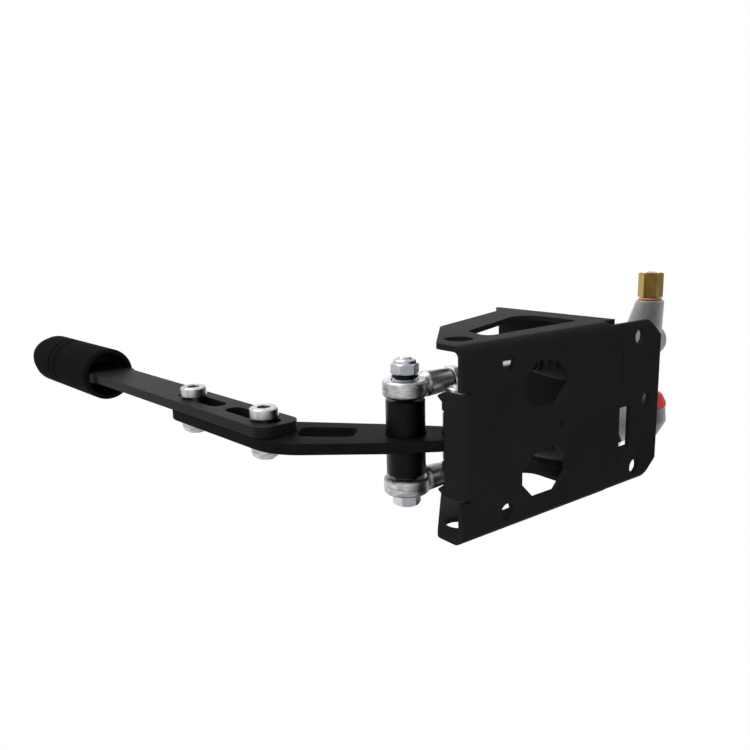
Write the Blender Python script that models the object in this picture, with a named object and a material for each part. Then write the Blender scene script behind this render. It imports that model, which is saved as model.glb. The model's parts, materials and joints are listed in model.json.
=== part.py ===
"""Parking brake lever with two hydraulic master cylinders, in metres, +Z up.

The origin is the centre of the four mounting holes, on the underside of the base plate.
+X points from the lever towards the cylinders, and -Y is the side of the outlet fitting.
"""
import math

import bmesh
import bpy
from mathutils import Matrix, Vector

for item in list(bpy.data.objects):
    bpy.data.objects.remove(item, do_unlink=True)

MM = 0.001
RAD = math.radians

# Fits
GAP = 0.3 * MM                   # between pieces that touch
CUT = 2.0 * MM                   # how far a cutter runs past the face it opens

# Base bracket, folded from one sheet
SHEET = 3.0 * MM
BEND = 3.0 * MM                  # inner radius of every fold
PLATE_FRONT = 88.2 * MM          # from the origin to the front fold
PLATE_REAR = 77.8 * MM           # from the origin to the rear edge
BRACKET_WIDTH = 102.0 * MM       # over the two side flanges
REAR_WIDTH = 98.0 * MM           # of the bare plate behind the flanges
REAR_CHAMFER = (12.0 * MM, 10.0 * MM)
HOLE_PITCH_LONG = 111.7 * MM
HOLE_PITCH_WIDE = 80.0 * MM
MOUNT_HOLE = 9.0 * MM
REAR_HOLE_X = 65.4 * MM
PILOT_HOLE = 3.2 * MM
PILOT_HOLE_X = -13.4 * MM
FLANGE_HEIGHT = 101.0 * MM
FLANGE_REAR = 42.0 * MM          # rear edge of the side flanges
FLANGE_RELIEF = 29.5 * MM        # where the fold stops before that edge
RELIEF_HEIGHT = 8.0 * MM
FLANGE_TOE = 18.6 * MM           # height of the flanges' front corner
FLANGE_KNEE = (-47.8 * MM, 60.3 * MM)
SLOPE_END = (14.1 * MM, 13.4 * MM)       # where the slope ends, from the top rear corner
SIDE_WINDOW_REAR = 18.8 * MM     # from the flanges' rear edge
SIDE_WINDOW_DROP = 36.0 * MM     # from their top
WINDOW_LENGTH = 36.8 * MM        # eight-sided openings in the plate
WINDOW_WIDTH = 26.0 * MM
WINDOW_CORNER = 9.5 * MM
WINDOW_X = -26.2 * MM
WINDOW_Y = 24.6 * MM
SLIT_BOX = (39.0 * MM, 49.8 * MM, 0.5 * MM, 25.6 * MM)
TAB_UPPER = (-34.0 * MM, -14.4 * MM)
TAB_LOWER = (27.0 * MM, 35.4 * MM)
FRONT_TAB_WIDTH = 54.0 * MM
FRONT_TAB_HEIGHT = 17.6 * MM
FRONT_REST_HEIGHT = 13.2 * MM    # the edge that the lever rests over
FRONT_REST_WIDTH = 42.0 * MM
ACCESS_HOLE = 15.0 * MM          # in each flange, in line with the pivot

# Rear wall, which carries the two cylinders
WALL_X = 37.5 * MM               # front face
WALL_TOP = 96.0 * MM

# Cylinders
CYLINDER_SPACING = 52.0 * MM
CYLINDER_HEIGHT = 38.0 * MM
FLANGE_THICK = 8.0 * MM
FLANGE_BOLT_PITCH = 44.0 * MM
FLANGE_HUB = 16.5 * MM           # radii of the oval mounting flange
FLANGE_EAR = 9.0 * MM
BARREL_RADIUS = 14.0 * MM
BARREL_LENGTH = 49.0 * MM        # behind the mounting flange
NOSE_RADIUS = 12.5 * MM
NOSE_LENGTH = 9.5 * MM
BORE_RADIUS = 8.0 * MM
BORE_LENGTH = 57.0 * MM          # from the flange face
PORT_OFFSET = 25.6 * MM          # port's axis behind the end of the barrel
TAIL_RADIUS = 10.6 * MM
TAIL_REACH = 8.6 * MM            # behind the port's axis
BOSS_FOOT_RADIUS = 12.0 * MM
BOSS_FOOT_OFFSET = 6.4 * MM      # the boss leans back from its foot to the port
BOSS_TOP_RADIUS = 9.2 * MM
BOSS_HEIGHT = 27.6 * MM          # above the cylinder's axis
HEAD_OFFSET = 31.2 * MM          # rear head of the capped cylinder, behind the barrel's end
HEAD_RADIUS = 11.6 * MM
HEAD_TOP = 5.0 * MM              # its seat above the cylinder's axis
HEAD_BOTTOM = 17.0 * MM
CAP_RADIUS = 11.0 * MM
CAP_HEIGHT = 9.8 * MM

# Outlet fitting
THREAD_RADIUS = 5.0 * MM
FITTING_FLATS = 14.0 * MM
FITTING_HEIGHT = 16.6 * MM
COPPER_THICK = 1.4 * MM
COPPER_RADIUS = 7.8 * MM

# Pivot
PIVOT_X = -71.5 * MM
PIVOT_HEIGHT = 20.0 * MM
CRADLE_SHEET = 4.0 * MM
CRADLE_INSIDE = 28.0 * MM        # between the lugs
CRADLE_LENGTH = 24.0 * MM
LUG_RADIUS = 8.8 * MM
SLEEVE_RADIUS = 8.4 * MM
BUSH_RADIUS = 6.0 * MM
BUSH_COLLAR = 8.0 * MM
BUSH_COLLAR_THICK = 1.0 * MM

# Lever bar, given from the pivot with its bend
BAR_THICK = 6.0 * MM
BAR_SIDE = 1.5 * MM              # its middle plane beside the bracket's
BAR_END_RADIUS = 12.4 * MM
BAR_WIDTH = 27.0 * MM            # along the upright stretch, as the handle bar
CLAMP_POINT = (-73.35 * MM, 73.7 * MM)
CLAMP_PITCH = 75.8 * MM
HANDLE_LEAN = RAD(5.4)
BAR_BELLY = (-16.6 * MM, 39.2 * MM)      # corners of its outline, before they are rounded
BAR_HEEL = (-38.75 * MM, 10.55 * MM)
BAR_ELBOW_FAR = 88.2 * MM        # heights of the elbow on its two edges
BAR_ELBOW_NEAR = 47.9 * MM
POCKET_LENGTH = 31.0 * MM
POCKET_WIDTH = 17.0 * MM
POCKET_START = 54.0 * MM         # from the pivot along the bar
CROSS_POINT = (-20.7 * MM, 18.2 * MM)

# Handle bar and grip, given along the handle from the lower clamp bolt
HANDLE_FOOT = 16.3 * MM
HANDLE_REACH = 283.2 * MM
HANDLE_CORNER = 8.0 * MM
SLOT_LENGTH = 36.0 * MM          # between its end centres
SLOT_LOWER = -6.3 * MM
SLOT_UPPER = 48.7 * MM
GRIP_OVERLAP = 82.0 * MM         # of the bar inside the grip
GRIP_LENGTH = 124.5 * MM
STOP_AHEAD = 9.0 * MM            # start of the stops, below the grip's mouth
STOP_LENGTH = 8.0 * MM
STOP_HEIGHT = 2.0 * MM
GRIP_RADIUS = 18.7 * MM
GRIP_WALL = 3.2 * MM
GRIP_CAP = 24.0 * MM
GRIP_CHAMFER = 22.0 * MM         # length of its tapered end
GROOVES = (52.5 * MM, 63.0 * MM)         # from the end of the grip
CORE_START = 34.0 * MM           # behind the mouth of the grip
GROOVE_DEPTH = 1.2 * MM

# Cross tube, rod ends and pushrods
BALL_RADIUS = 8.0 * MM
BALL_WIDTH = 11.0 * MM
ROD_END_RADIUS = 12.0 * MM
ROD_END_WIDTH = 9.0 * MM
SHANK_LENGTH = 30.0 * MM
SHANK_ROOT = 7.0 * MM
SHANK_TIP = 6.2 * MM
TUBE_RADIUS = 10.4 * MM
TUBE_BORE = 5.0 * MM
ROD_RADIUS = 4.0 * MM
ROD_TIP_RADIUS = 3.4 * MM
ROD_START = 13.0 * MM            # inside the shank, from the ball's centre

# Pistons
PISTON_RADIUS = 7.7 * MM
PISTON_LENGTH = 19.0 * MM
SOCKET_RADIUS = 4.8 * MM
SOCKET_DEPTH = 6.0 * MM
TIP_PLAY = 0.6 * MM
STEM_RADIUS = 3.0 * MM
STEM_LENGTH = 7.0 * MM
CUP_LENGTH = 5.0 * MM
SEAL_GROOVE = 5.6 * MM
RING_AT = 3.4 * MM               # groove of the snap ring, from the flange face
RING_THICK = 1.0 * MM
SPRING_WIRE = 0.7 * MM           # radius
SPRING_RADIUS = 5.6 * MM         # of the coil's middle
SPRING_TURNS = 6
BOOT_FOLDS = 4

# Fasteners
M8 = 4.0 * MM
M8_FLATS = 13.0 * MM
M8_HEAD = 5.3 * MM
M8_NUT = 6.5 * MM
M8_LOCKNUT = 8.0 * MM
M10 = 5.0 * MM
M10_FLATS = 16.0 * MM
M10_NUT = 8.0 * MM
CLAMP_HEAD_RADIUS = 7.9 * MM
CLAMP_HEAD = 6.4 * MM
CLAMP_SOCKET = 7.0 * MM
WASHER_THICK = 1.2 * MM
WASHER_RADIUS = 8.0 * MM
HOLE_PLAY = 0.3 * MM             # a hole's radius over its bolt's

# Worked out from the above
HALF_WIDTH = BRACKET_WIDTH / 2
FLANGE_X = WALL_X + SHEET + GAP          # front face of the cylinders' mounting flanges
FLANGE_BACK = FLANGE_X + FLANGE_THICK
BARREL_END = FLANGE_BACK + BARREL_LENGTH
PORT_X = BARREL_END + PORT_OFFSET
HEAD_X = BARREL_END + HEAD_OFFSET
TAIL_END = PORT_X + TAIL_REACH
BOSS_FOOT_X = PORT_X - BOSS_FOOT_OFFSET
BALL_Y = CYLINDER_SPACING / 2
TUBE_HALF = BALL_Y - BALL_WIDTH / 2 - GAP
BALL_X = PIVOT_X + CROSS_POINT[0]
BALL_Z = PIVOT_HEIGHT + CROSS_POINT[1]
HANDLE_Y = BAR_SIDE - BAR_THICK - GAP
GRIP_START = HANDLE_REACH - GRIP_OVERLAP
STOP_START = GRIP_START - STOP_AHEAD
LUG_INSIDE = CRADLE_INSIDE / 2
LUG_OUTSIDE = LUG_INSIDE + CRADLE_SHEET
RING_LOW = FLANGE_X + RING_AT + GAP
STOP_LOW = RING_LOW + RING_THICK + 2 * GAP
PISTON_X = STOP_LOW + WASHER_THICK + GAP
TIP_X = PISTON_X + SOCKET_DEPTH - TIP_PLAY

ROUND = 20                       # sides of a round piece
FINE = 24                        # of the grip
SMALL = 14                       # of small and inner pieces


def material(name, colour, roughness, metallic=0.0):
    """A plain Principled material."""
    made = bpy.data.materials.new(name)
    made.use_nodes = True
    shader = made.node_tree.nodes["Principled BSDF"]
    shader.inputs["Base Color"].default_value = (*colour, 1.0)
    shader.inputs["Roughness"].default_value = roughness
    shader.inputs["Metallic"].default_value = metallic
    return made


BLACK_COAT = material("black_powder_coat", (0.012, 0.012, 0.013), 0.5)
BLACK_BAR = material("black_anodised_bar", (0.016, 0.016, 0.018), 0.4, 0.3)
ZINC = material("bright_zinc", (0.62, 0.64, 0.66), 0.3, 1.0)
CAST = material("cast_aluminium", (0.3, 0.3, 0.3), 0.5, 0.9)
BRASS = material("brass", (0.55, 0.39, 0.13), 0.3, 1.0)
COPPER = material("copper", (0.66, 0.3, 0.2), 0.35, 1.0)
RED = material("red_plastic", (0.72, 0.03, 0.02), 0.4)
RUBBER = material("black_rubber", (0.01, 0.01, 0.01), 0.75)
FOAM = material("grip_foam", (0.008, 0.008, 0.008), 0.85)
BRONZE = material("bronze_bush", (0.5, 0.32, 0.16), 0.4, 1.0)
STEEL = material("steel", (0.45, 0.45, 0.46), 0.3, 1.0)
PLASTIC = material("black_plastic", (0.015, 0.015, 0.015), 0.5)


def empty(name, location, parent=None):
    """A frame that carries the pieces of one moving body."""
    made = bpy.data.objects.new(name, None)
    made.empty_display_size = 0.02
    made.location = location
    made.parent = parent
    bpy.context.collection.objects.link(made)
    return made


def finish(name, shape, finish_material=None, parent=None, location=(0, 0, 0), turn=None):
    """Turns a bmesh into a named object, shaded smooth up to 35 degrees."""
    bmesh.ops.remove_doubles(shape, verts=shape.verts, dist=1e-6)
    bmesh.ops.dissolve_degenerate(shape, edges=shape.edges, dist=1e-7)
    bmesh.ops.recalc_face_normals(shape, faces=shape.faces)
    mesh = bpy.data.meshes.new(name)
    shape.to_mesh(mesh)
    shape.free()
    mesh.shade_smooth()
    mesh.set_sharp_from_angle(angle=RAD(35))
    made = bpy.data.objects.new(name, mesh)
    bpy.context.collection.objects.link(made)
    made.parent = parent
    made.location = location
    if turn is not None:
        made.rotation_euler = turn
    if finish_material is not None:
        mesh.materials.append(finish_material)
    else:
        made.hide_render = True
        made.display_type = "WIRE"
    return made


def combine(target, operation, tools):
    """Boolean modifiers, which stay on the object."""
    for tool in tools:
        change = target.modifiers.new(operation.lower(), "BOOLEAN")
        change.operation = operation
        change.solver = "EXACT"
        change.object = tool
    return target


def cut(target, *tools):
    return combine(target, "DIFFERENCE", tools)


def join(target, *tools):
    return combine(target, "UNION", tools)


def keep(target, *tools):
    return combine(target, "INTERSECT", tools)


def rounded(corners, steps=3):
    """An outline from corners (x, y, radius); a radius of 0 stays sharp."""
    points = []
    count = len(corners)
    for index, (x, y, radius) in enumerate(corners):
        here = Vector((x, y))
        if radius <= 0:
            points.append(here)
            continue
        before = (Vector(corners[index - 1][:2]) - here).normalized()
        after = (Vector(corners[(index + 1) % count][:2]) - here).normalized()
        half = before.angle(after) / 2
        reach = radius / math.tan(half)
        centre = here + (before + after).normalized() * (radius / math.sin(half))
        start = here + before * reach - centre
        sweep = math.pi - 2 * half
        side = 1 if before.cross(after) < 0 else -1
        for step in range(steps + 1):
            angle = side * sweep * step / steps
            points.append(centre + Matrix.Rotation(angle, 2) @ start)
    return points


def circle(radius, centre=(0, 0), steps=ROUND, start=0.0):
    return [Vector((centre[0] + radius * math.cos(start + 2 * math.pi * k / steps),
                    centre[1] + radius * math.sin(start + 2 * math.pi * k / steps))) for k in range(steps)]


def hexagon(flats, centre=(0, 0), start=0.0):
    return circle(flats / math.sqrt(3), centre, 6, start)


def slot(length, width, start, steps=6):
    """A slot along +Y from its first end centre."""
    half = width / 2
    ends = []
    for middle, base in ((start, math.pi), (start + length, 0.0)):
        for step in range(steps + 1):
            angle = base + math.pi * step / steps
            ends.append(Vector((half * math.cos(angle), middle + half * math.sin(angle))))
    return ends


def oval(hub, ear, reach, steps=5):
    """A round hub with two smaller ears along Y, joined by tangents."""
    lean = math.asin((hub - ear) / reach)
    outline = []
    for middle, radius, first, last in ((0, hub, -lean, lean), (reach, ear, lean, math.pi - lean),
                                        (0, hub, math.pi - lean, math.pi + lean),
                                        (-reach, ear, math.pi + lean, 2 * math.pi - lean)):
        for step in range(steps + 1):
            angle = first + (last - first) * step / steps
            outline.append(Vector((radius * math.cos(angle), middle + radius * math.sin(angle))))
    return outline


def to_xy(u, v, h):
    return (u, v, h)


def to_xz(u, v, h):
    return (u, h, v)


def to_yz(u, v, h):
    return (h, u, v)


def slab(outlines, low, high, place=to_xy):
    """A flat piece between two levels: the first outline is its edge, the others are holes."""
    shape = bmesh.new()
    for outline in outlines:
        corners = [shape.verts.new((point[0], point[1], low)) for point in outline]
        for first, second in zip(corners, corners[1:] + corners[:1]):
            shape.edges.new((first, second))
    bmesh.ops.triangle_fill(shape, use_beauty=True, use_dissolve=False, edges=shape.edges[:])
    raised = bmesh.ops.extrude_face_region(shape, geom=shape.faces[:])
    top = [item for item in raised["geom"] if isinstance(item, bmesh.types.BMVert)]
    bmesh.ops.translate(shape, verts=top, vec=(0, 0, high - low))
    for vertex in shape.verts:
        vertex.co = place(*vertex.co)
    return shape


def turned(profile, axis="Z", steps=ROUND, closed=False):
    """A profile of (along, radius) points spun about an axis; closed ones make rings."""
    shape = bmesh.new()
    points = [shape.verts.new((radius, 0, along)) for along, radius in profile]
    edges = [shape.edges.new(pair) for pair in zip(points, points[1:])]
    if closed:
        edges.append(shape.edges.new((points[-1], points[0])))
    bmesh.ops.spin(shape, geom=points + edges, cent=(0, 0, 0), axis=(0, 0, 1), angle=2 * math.pi,
                   steps=steps, use_merge=True, use_duplicate=False)
    bmesh.ops.remove_doubles(shape, verts=shape.verts, dist=1e-6)
    if axis == "X":
        shape.transform(Matrix.Rotation(RAD(90), 4, "Y"))
    elif axis == "Y":
        shape.transform(Matrix.Rotation(RAD(-90), 4, "X"))
    return shape


def rod(radius, low, high, axis="Z", steps=ROUND):
    return turned([(low, 0), (low, radius), (high, radius), (high, 0)], axis, steps)


def ring(inner, outer, low, high, axis="Z", chamfer=0.0, steps=ROUND):
    c = chamfer
    if c:
        profile = [(low, inner), (low, outer - c), (low + c, outer), (high - c, outer),
                   (high, outer - c), (high, inner)]
    else:
        profile = [(low, inner), (low, outer), (high, outer), (high, inner)]
    return turned(profile, axis, steps, closed=True)


def loft(rings):
    """A skin over rings of (points in space), closed at both ends."""
    shape = bmesh.new()
    levels = [[shape.verts.new(point) for point in points] for points in rings]
    count = len(levels[0])
    for lower, upper in zip(levels, levels[1:]):
        for k in range(count):
            n = (k + 1) % count
            shape.faces.new((lower[k], lower[n], upper[n], upper[k]))
    shape.faces.new(levels[0])
    shape.faces.new(levels[-1])
    return shape


def merge(*shapes):
    """Several separate solids in one bmesh."""
    whole = shapes[0]
    for other in shapes[1:]:
        carrier = bpy.data.meshes.new("carrier")
        other.to_mesh(carrier)
        other.free()
        whole.from_mesh(carrier)
        bpy.data.meshes.remove(carrier)
    return whole


def moved(shape, x=0.0, y=0.0, z=0.0):
    bmesh.ops.translate(shape, verts=shape.verts, vec=(x, y, z))
    return shape


def hex_solid(flats, low, high, hole=0.0, chamfer_ends=(True, True)):
    """A hexagon along Z with its corners turned down at one or both ends."""
    corner = flats / math.sqrt(3)
    drop = (corner - flats / 2) * 0.6
    levels = []
    for level, chamfered, inward in ((low, chamfer_ends[0], 1), (high, chamfer_ends[1], -1)):
        stage = [(level, flats / 2 * 0.97 if chamfered else corner)]
        if chamfered:
            stage.append((level + inward * drop, corner))
        levels.append(stage if inward == 1 else stage[::-1])
    shape = bmesh.new()
    rows = []
    for level, reach in levels[0] + levels[1]:
        row = []
        for k in range(12):
            angle = math.pi * k / 6
            radius = reach if k % 2 == 0 else min(reach, flats / 2)
            if reach < corner and k % 2 == 1:
                radius = reach
            row.append(shape.verts.new((radius * math.cos(angle), radius * math.sin(angle), level)))
        rows.append(row)
    for lower, upper in zip(rows, rows[1:]):
        for k in range(12):
            n = (k + 1) % 12
            shape.faces.new((lower[k], lower[n], upper[n], upper[k]))
    if hole:
        inner = [[shape.verts.new((hole * math.cos(math.pi * k / 6), hole * math.sin(math.pi * k / 6),
                                   row[0].co.z))
                  for k in range(12)] for row in (rows[0], rows[-1])]
        for row, bore in ((rows[0], inner[0]), (rows[-1], inner[1])):
            for k in range(12):
                n = (k + 1) % 12
                shape.faces.new((row[k], row[n], bore[n], bore[k]))
        for k in range(12):
            n = (k + 1) % 12
            shape.faces.new((inner[0][k], inner[0][n], inner[1][n], inner[1][k]))
    else:
        shape.faces.new(rows[0])
        shape.faces.new(rows[-1])
    return shape


def along(shape, axis):
    """Turns a shape made along Z to lie along another axis."""
    if axis == "X":
        shape.transform(Matrix.Rotation(RAD(90), 4, "Y"))
    elif axis == "Y":
        shape.transform(Matrix.Rotation(RAD(-90), 4, "X"))
    return shape


bracket = empty("bracket", (0, 0, 0))
lever = empty("lever", (PIVOT_X, 0, PIVOT_HEIGHT), bracket)


def base_bracket():
    """Plate, two side flanges and the front tab, folded from one sheet."""
    outer = BEND + SHEET
    half = HALF_WIDTH
    arc = 4
    section = [(half - SHEET, FLANGE_HEIGHT + CUT), (half, FLANGE_HEIGHT + CUT)]
    section += [(half - outer + outer * math.cos(RAD(a)), outer + outer * math.sin(RAD(a)))
                for a in [-90 * k / arc for k in range(arc + 1)]]
    section += [(-x, y) for x, y in reversed(section)]
    inner = [(half - outer + BEND * math.cos(RAD(a)), outer + BEND * math.sin(RAD(a)))
             for a in [-90 + 90 * k / arc for k in range(arc + 1)]]
    section += [(-x, y) for x, y in reversed(inner)] + inner
    body = finish("base_bracket", slab([section], -PLATE_FRONT, PLATE_REAR, to_yz), BLACK_COAT, bracket)

    side = rounded([(-PLATE_FRONT - CUT, -CUT, 0), (-PLATE_FRONT - CUT, 2 * CUT, 0), (-PLATE_FRONT, 2 * CUT,
                                                                                      0),
                    (-PLATE_FRONT, FLANGE_TOE, 6 * MM), (*FLANGE_KNEE, 14 * MM),
                    (FLANGE_REAR - SLOPE_END[0], FLANGE_HEIGHT - SLOPE_END[1], 6 * MM),
                    (FLANGE_REAR - 2 * MM, FLANGE_HEIGHT, 0), (FLANGE_REAR, FLANGE_HEIGHT - 2 * MM, 0),
                    (FLANGE_REAR, RELIEF_HEIGHT, 0),
                    (FLANGE_RELIEF, RELIEF_HEIGHT, 0), (FLANGE_RELIEF, SHEET + 0.5 * CUT, 0),
                    (PLATE_REAR + CUT, SHEET + 0.5 * CUT, 0), (PLATE_REAR + CUT, -CUT, 0)])
    keep(body, finish("side_outline", slab([side], -half - CUT, half + CUT, to_xz)))

    waste = []
    for sign in (1, -1):
        strip = [(FLANGE_RELIEF, REAR_WIDTH / 2), (PLATE_REAR - REAR_CHAMFER[0], REAR_WIDTH / 2),
                 (PLATE_REAR, REAR_WIDTH / 2 - REAR_CHAMFER[1]), (PLATE_REAR + CUT,
                                                                  REAR_WIDTH / 2 - REAR_CHAMFER[1]),
                 (PLATE_REAR + CUT, half + CUT), (FLANGE_RELIEF, half + CUT)]
        waste.append(slab([[(x, sign * y) for x, y in strip]], -CUT, RELIEF_HEIGHT - GAP))
    notch = FRONT_TAB_WIDTH / 2 + 1.5 * MM
    front = [(-PLATE_FRONT - CUT, -notch), (-PLATE_FRONT + outer, -notch), (-PLATE_FRONT + outer, notch),
             (-PLATE_FRONT - CUT, notch)]
    waste.append(slab([front], -CUT, SHEET + CUT))
    cut(body, finish("plate_waste", merge(*waste)))

    folded = [(-PLATE_FRONT + outer + 8 * MM, 0), (-PLATE_FRONT + outer, 0)]
    folded += [(-PLATE_FRONT + outer - outer * math.sin(RAD(a)), outer - outer * math.cos(RAD(a)))
               for a in (15, 30, 45, 60, 75, 90)]
    folded += [(-PLATE_FRONT, FRONT_TAB_HEIGHT), (-PLATE_FRONT + SHEET, FRONT_TAB_HEIGHT)]
    folded += [(-PLATE_FRONT + outer - BEND * math.sin(RAD(a)), outer - BEND * math.cos(RAD(a)))
               for a in (90, 75, 60, 45, 30, 15, 0)]
    folded += [(-PLATE_FRONT + outer + 8 * MM, SHEET)]
    tab = finish("front_tab", slab([folded], -FRONT_TAB_WIDTH / 2, FRONT_TAB_WIDTH / 2, to_xz))
    join(body, tab)

    reach = FRONT_TAB_WIDTH / 2
    ear = [(-reach - CUT, FRONT_TAB_HEIGHT + CUT, 0), (-reach - CUT, FRONT_TAB_HEIGHT - 4 * MM, 0),
           (-reach, FRONT_TAB_HEIGHT - 4 * MM, 0), (-reach + 2 * MM, FRONT_TAB_HEIGHT, 0),
           (-FRONT_REST_WIDTH / 2 - 3 * MM, FRONT_TAB_HEIGHT, 0), (-FRONT_REST_WIDTH / 2, FRONT_REST_HEIGHT,
                                                                   3 * MM)]
    crown = ear + [(-y, z, r) for y, z, r in reversed(ear)]
    tools = [slab([rounded(crown)], -PLATE_FRONT - CUT, -PLATE_FRONT + outer, to_yz)]
    for x in (-HOLE_PITCH_LONG / 2, HOLE_PITCH_LONG / 2):
        for y in (-HOLE_PITCH_WIDE / 2, HOLE_PITCH_WIDE / 2):
            tools.append(moved(rod(MOUNT_HOLE / 2, -CUT, SHEET + CUT), x, y))
    tools.append(moved(rod(MOUNT_HOLE / 2, -CUT, SHEET + CUT), REAR_HOLE_X))
    tools.append(moved(rod(PILOT_HOLE / 2, -CUT, SHEET + CUT, steps=SMALL), PILOT_HOLE_X))
    long, wide, c = WINDOW_LENGTH / 2, WINDOW_WIDTH / 2, WINDOW_CORNER
    eight = [(-long, -wide + c), (-long + c, -wide), (long - c, -wide), (long, -wide + c),
             (long, wide - c), (long - c, wide), (-long + c, wide), (-long, wide - c)]
    for sign in (1, -1):
        tools.append(moved(slab([eight], -CUT, SHEET + CUT), WINDOW_X, sign * WINDOW_Y))
    x0, x1, y0, y1 = SLIT_BOX
    tools.append(slab([[(x0, y0), (x1, y0), (x1, y1), (x0, y1)]], -CUT, SHEET + CUT))
    for y0, y1 in (TAB_UPPER, TAB_LOWER):
        x0, x1 = WALL_X - GAP, WALL_X + SHEET + GAP
        tools.append(slab([[(x0, y0), (x1, y0), (x1, y1), (x0, y1)]], -CUT, SHEET + CUT))
    knee_x, knee_z = FLANGE_KNEE
    behind = FLANGE_REAR - SIDE_WINDOW_REAR
    triangle = rounded([(knee_x - 7.2 * MM, 16.5 * MM, 5 * MM), (behind, 19.5 * MM, 5 * MM),
                        (behind + 1.0 * MM, FLANGE_HEIGHT - SIDE_WINDOW_DROP, 12 * MM),
                        (knee_x - 2.2 * MM, knee_z - 24.3 * MM, 5 * MM)])
    tools.append(slab([triangle], -half - CUT, half + CUT, to_xz))
    tools.append(slab([circle(ACCESS_HOLE / 2, (PIVOT_X, PIVOT_HEIGHT))], -half - CUT, half + CUT, to_xz))
    cut(body, finish("bracket_openings", merge(*tools)))


def rear_wall():
    """Upright plate across the flanges, tabbed through the base plate."""
    half = HALF_WIDTH - SHEET - GAP
    foot, tab_end = SHEET + GAP, GAP
    edge = [(-half, RELIEF_HEIGHT, 0), (-half + 4 * MM, foot, 0)]
    for y0, y1 in (TAB_UPPER, TAB_LOWER):
        edge += [(y0 + GAP, foot, 0), (y0 + GAP, tab_end, 0), (y1 - GAP, tab_end, 0), (y1 - GAP, foot, 0)]
    edge += [(half - 4 * MM, foot, 0), (half, RELIEF_HEIGHT, 0), (half, WALL_TOP, 6 * MM), (-half, WALL_TOP,
                                                                                            6 * MM)]
    holes = []
    for y in (-BALL_Y, BALL_Y):
        holes.append(circle(NOSE_RADIUS + GAP, (y, CYLINDER_HEIGHT)))
        for z in (-FLANGE_BOLT_PITCH / 2, FLANGE_BOLT_PITCH / 2):
            holes.append(circle(M8 + HOLE_PLAY, (y, CYLINDER_HEIGHT + z), SMALL))
    finish("rear_wall", slab([rounded(edge)] + holes, WALL_X, WALL_X + SHEET, to_yz), BLACK_COAT, bracket)


def pivot_cradle():
    """U-shaped seat for the pivot bolt, on the base plate behind the front tab."""
    base = SHEET + GAP
    low = base - PIVOT_HEIGHT
    outer = CRADLE_SHEET + BEND
    half = LUG_OUTSIDE
    top = LUG_RADIUS
    section = [(half - CRADLE_SHEET, top), (half, top)]
    section += [(half - outer + outer * math.cos(RAD(a)), low + outer + outer * math.sin(RAD(a)))
                for a in (0, -18, -36, -54, -72, -90)]
    section += [(-x, z) for x, z in reversed(section)]
    inner = [(half - outer + BEND * math.cos(RAD(a)), low + outer + BEND * math.sin(RAD(a)))
             for a in (-90, -72, -54, -36, -18, 0)]
    section += [(-x, z) for x, z in reversed(inner)] + inner
    length = CRADLE_LENGTH / 2
    body = finish("pivot_cradle", slab([section], -length, length, to_yz), BLACK_COAT, lever_seat)
    side = [Vector((LUG_RADIUS * math.cos(RAD(a)), LUG_RADIUS * math.sin(RAD(a)))) for a in range(0, 181, 15)]
    side += [Vector((-length - CUT, low + 2 * CRADLE_SHEET)), Vector((-length - CUT, low - CUT)),
             Vector((length + CUT, low - CUT)), Vector((length + CUT, low + 2 * CRADLE_SHEET))]
    keep(body, finish("lug_outline", slab([side, circle(M8 + HOLE_PLAY, steps=SMALL)], -half - CUT,
                                          half + CUT, to_xz),
                      parent=lever_seat))


lever_seat = empty("pivot_seat", (PIVOT_X, 0, PIVOT_HEIGHT), bracket)


def pivot_fasteners():
    """The pivot bolt and its lock nut, outside the cradle's lugs."""
    head_face, tail = LUG_OUTSIDE + GAP, -LUG_OUTSIDE - GAP - M8_LOCKNUT - 1.0 * MM
    bolt = finish("pivot_bolt", along(hex_solid(M8_FLATS, head_face, head_face + M8_HEAD, 0, (False, True)),
                                      "Y"),
                  ZINC, lever_seat)
    join(bolt, finish("pivot_shank", rod(M8 - GAP / 3, tail, head_face + M8_HEAD / 2, "Y", SMALL),
                      parent=lever_seat))
    nut_face = -LUG_OUTSIDE - GAP
    finish("pivot_nut", along(hex_solid(M8_FLATS, nut_face - M8_LOCKNUT, nut_face, M8 + GAP / 3), "Y"),
           ZINC, lever_seat)


base_bracket()
rear_wall()
pivot_cradle()
pivot_fasteners()


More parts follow.
